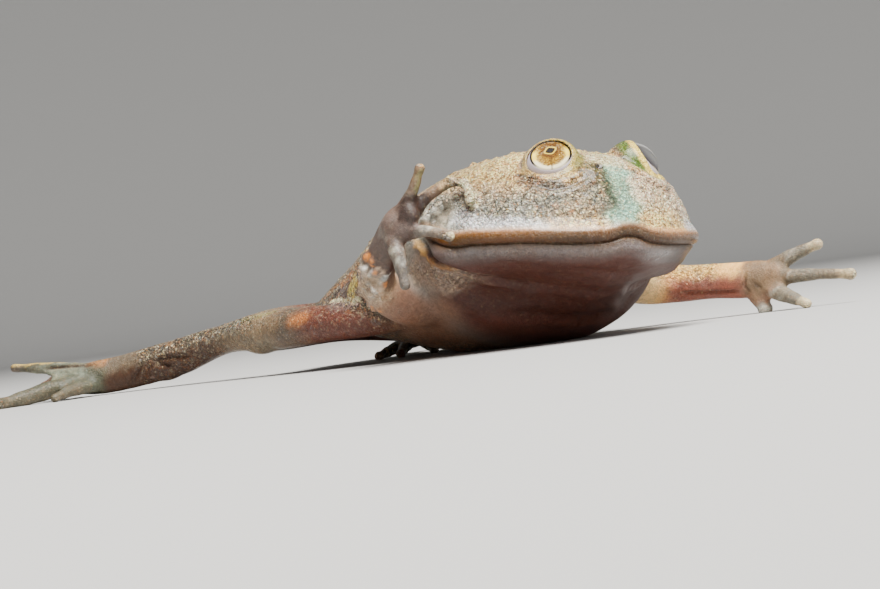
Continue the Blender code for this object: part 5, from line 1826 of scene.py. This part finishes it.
class FrogEyeSettings(bpy.types.PropertyGroup):
    """Colours and sizes of the eyes."""

    iris_gold: FloatVectorProperty(
        name="Gold", description="Main colour of the iris", subtype="COLOR", size=3, min=0, max=1,
        default=(0.135, 0.055, 0.003),
    )
    iris_dark: FloatVectorProperty(
        name="Brown", description="Dark flecks of the iris", subtype="COLOR", size=3, min=0, max=1,
        default=(0.045, 0.016, 0.003),
    )
    iris_pale: FloatVectorProperty(
        name="Cream", description="Pale outer part of the iris", subtype="COLOR", size=3, min=0, max=1,
        default=(0.92, 0.68, 0.09),
    )
    iris_white: FloatVectorProperty(
        name="White flecks", description="Palest flecks of the iris", subtype="COLOR", size=3, min=0,
        max=1, default=(0.92, 0.85, 0.55),
    )
    wall: FloatVectorProperty(
        name="Wall", description="Colour of the eyeball beside the iris", subtype="COLOR", size=3,
        min=0, max=1, default=(0.52, 0.46, 0.50),
    )
    cornea_rim: FloatVectorProperty(
        name="Cornea rim", description="Tint of the clear cornea towards its rim", subtype="COLOR",
        size=3, min=0, max=1, default=(0.42, 0.38, 0.42),
    )
    cornea_bend: FloatProperty(
        name="Cornea index", description="How strongly the cornea bends light; low, as under water",
        default=1.02, min=1.0, max=1.5,
    )
    pupil_rise: FloatProperty(
        name="Pupil rise", description="How far above the iris's middle the pupil lies, in millimetres",
        default=1.4, min=-1, max=2,
    )
    pupil_width: FloatProperty(
        name="Pupil width", description="Width of the pupil in millimetres", default=1.6, min=0.2,
        max=5,
    )
    pupil_height: FloatProperty(
        name="Pupil height", description="Height of the pupil in millimetres", default=1.25, min=0.2,
        max=5,
    )
    pupil_turn: FloatProperty(
        name="Pupil turn", description="How far the pupil is turned in the iris", subtype="ANGLE",
        unit="ROTATION", default=math.radians(20),
    )


class FrogStageSettings(bpy.types.PropertyGroup):
    """Floor, light and camera."""

    floor_colour: FloatVectorProperty(
        name="Floor", description="Colour of the floor", subtype="COLOR", size=3, min=0, max=1,
        default=(0.42, 0.42, 0.415),
    )
    floor_radius: FloatProperty(
        name="Floor radius", description="Radius of the floor", subtype="DISTANCE", unit="LENGTH",
        default=2.3, min=0.5,
    )
    backdrop_height: FloatProperty(
        name="Backdrop height", description="How high the floor's edge rises", subtype="DISTANCE",
        unit="LENGTH", default=1.3, min=0,
    )
    key_power: FloatProperty(
        name="Key light", description="Power of the main light", subtype="POWER", unit="POWER",
        default=35, min=0,
    )
    fill_power: FloatProperty(
        name="Fill light", description="Power of the fill light", subtype="POWER", unit="POWER",
        default=2, min=0,
    )
    sky: FloatProperty(
        name="Sky", description="Strength of the light from all round", default=0.22, min=0,
    )
    view_turn: FloatProperty(
        name="View turn", description="How far the camera stands round to the frog's right",
        subtype="ANGLE", unit="ROTATION", default=math.radians(-28),
    )
    view_roll: FloatProperty(
        name="View roll", description="How far the camera is rolled", subtype="ANGLE", unit="ROTATION",
        default=math.radians(7.5),
    )
    view_distance: FloatProperty(
        name="View distance", description="Distance of the camera", subtype="DISTANCE", unit="LENGTH",
        default=0.45, min=0.05,
    )
    view_lens: FloatProperty(
        name="View lens", description="Focal length in millimetres for a 36 mm frame", default=110.4545,
        min=10,
    )


class FROG_OT_make_skin(bpy.types.Operator):
    """Builds the frog's one skin over all its flesh"""

    bl_idname = "frog.make_skin"
    bl_label = "Skin"

    def execute(self, context):
        settings = context.scene.frog_skin
        skin = model_body()
        refine_skin(skin, settings.triangles)
        carve_skin(skin, settings)
        colour_skin(skin, settings)
        material = make_skin_material(settings)
        grow_granules(skin, material, settings)
        shade_smoothly(skin)
        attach(skin, "root")
        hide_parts(*FLESH_NODES)
        return {"FINISHED"}


class FROG_OT_make_eyes(bpy.types.Operator):
    """Builds the two eyeballs and their clear corneas"""

    bl_idname = "frog.make_eyes"
    bl_label = "Eyes"

    def execute(self, context):
        make_eyes(context.scene.frog_eyes)
        return {"FINISHED"}


class FROG_OT_make_stage(bpy.types.Operator):
    """Builds the pale floor, the soft lights and the camera"""

    bl_idname = "frog.make_stage"
    bl_label = "Stage"

    def execute(self, context):
        settings = context.scene.frog_stage
        make_floor(settings)
        add_soft_light("key_light", KEY_PLACE, KEY_SIZE, settings.key_power, KEY_COLOUR)
        add_soft_light("fill_light", FILL_PLACE, FILL_SIZE, settings.fill_power, FILL_COLOUR)
        world = context.scene.world or bpy.data.worlds.new("sky")
        context.scene.world = world
        world.use_nodes = True
        sky = world.node_tree.nodes.get("Background")
        sky.inputs["Color"].default_value = opaque(SKY_COLOUR)
        sky.inputs["Strength"].default_value = settings.sky
        aim_camera(settings)
        return {"FINISHED"}


class FROG_PT_panel(bpy.types.Panel):
    """The frog's operators and settings"""

    bl_idname = "FROG_PT_panel"
    bl_label = "Budgett's Frog"
    bl_space_type = "VIEW_3D"
    bl_region_type = "UI"
    bl_category = "Frog"

    def draw(self, context):
        layout = self.layout
        scene = context.scene
        for operator, settings in (
            (FROG_OT_make_skin, scene.frog_skin), (FROG_OT_make_eyes, scene.frog_eyes),
            (FROG_OT_make_stage, scene.frog_stage),
        ):
            box = layout.box()
            box.operator(operator.bl_idname)
            for name in settings.__annotations__:
                box.prop(settings, name)


CLASSES = (
    FrogSkinSettings, FrogEyeSettings, FrogStageSettings,
    FROG_OT_make_skin, FROG_OT_make_eyes, FROG_OT_make_stage, FROG_PT_panel,
)


def register():
    for cls in CLASSES:
        bpy.utils.register_class(cls)
    bpy.types.Scene.frog_skin = PointerProperty(type=FrogSkinSettings)
    bpy.types.Scene.frog_eyes = PointerProperty(type=FrogEyeSettings)
    bpy.types.Scene.frog_stage = PointerProperty(type=FrogStageSettings)


def unregister():
    del bpy.types.Scene.frog_stage
    del bpy.types.Scene.frog_eyes
    del bpy.types.Scene.frog_skin
    for cls in reversed(CLASSES):
        bpy.utils.unregister_class(cls)


def main():
    register()
    bpy.ops.frog.make_skin()
    bpy.ops.frog.make_eyes()
    bpy.ops.frog.make_stage()


if __name__ == "__main__":
    main()
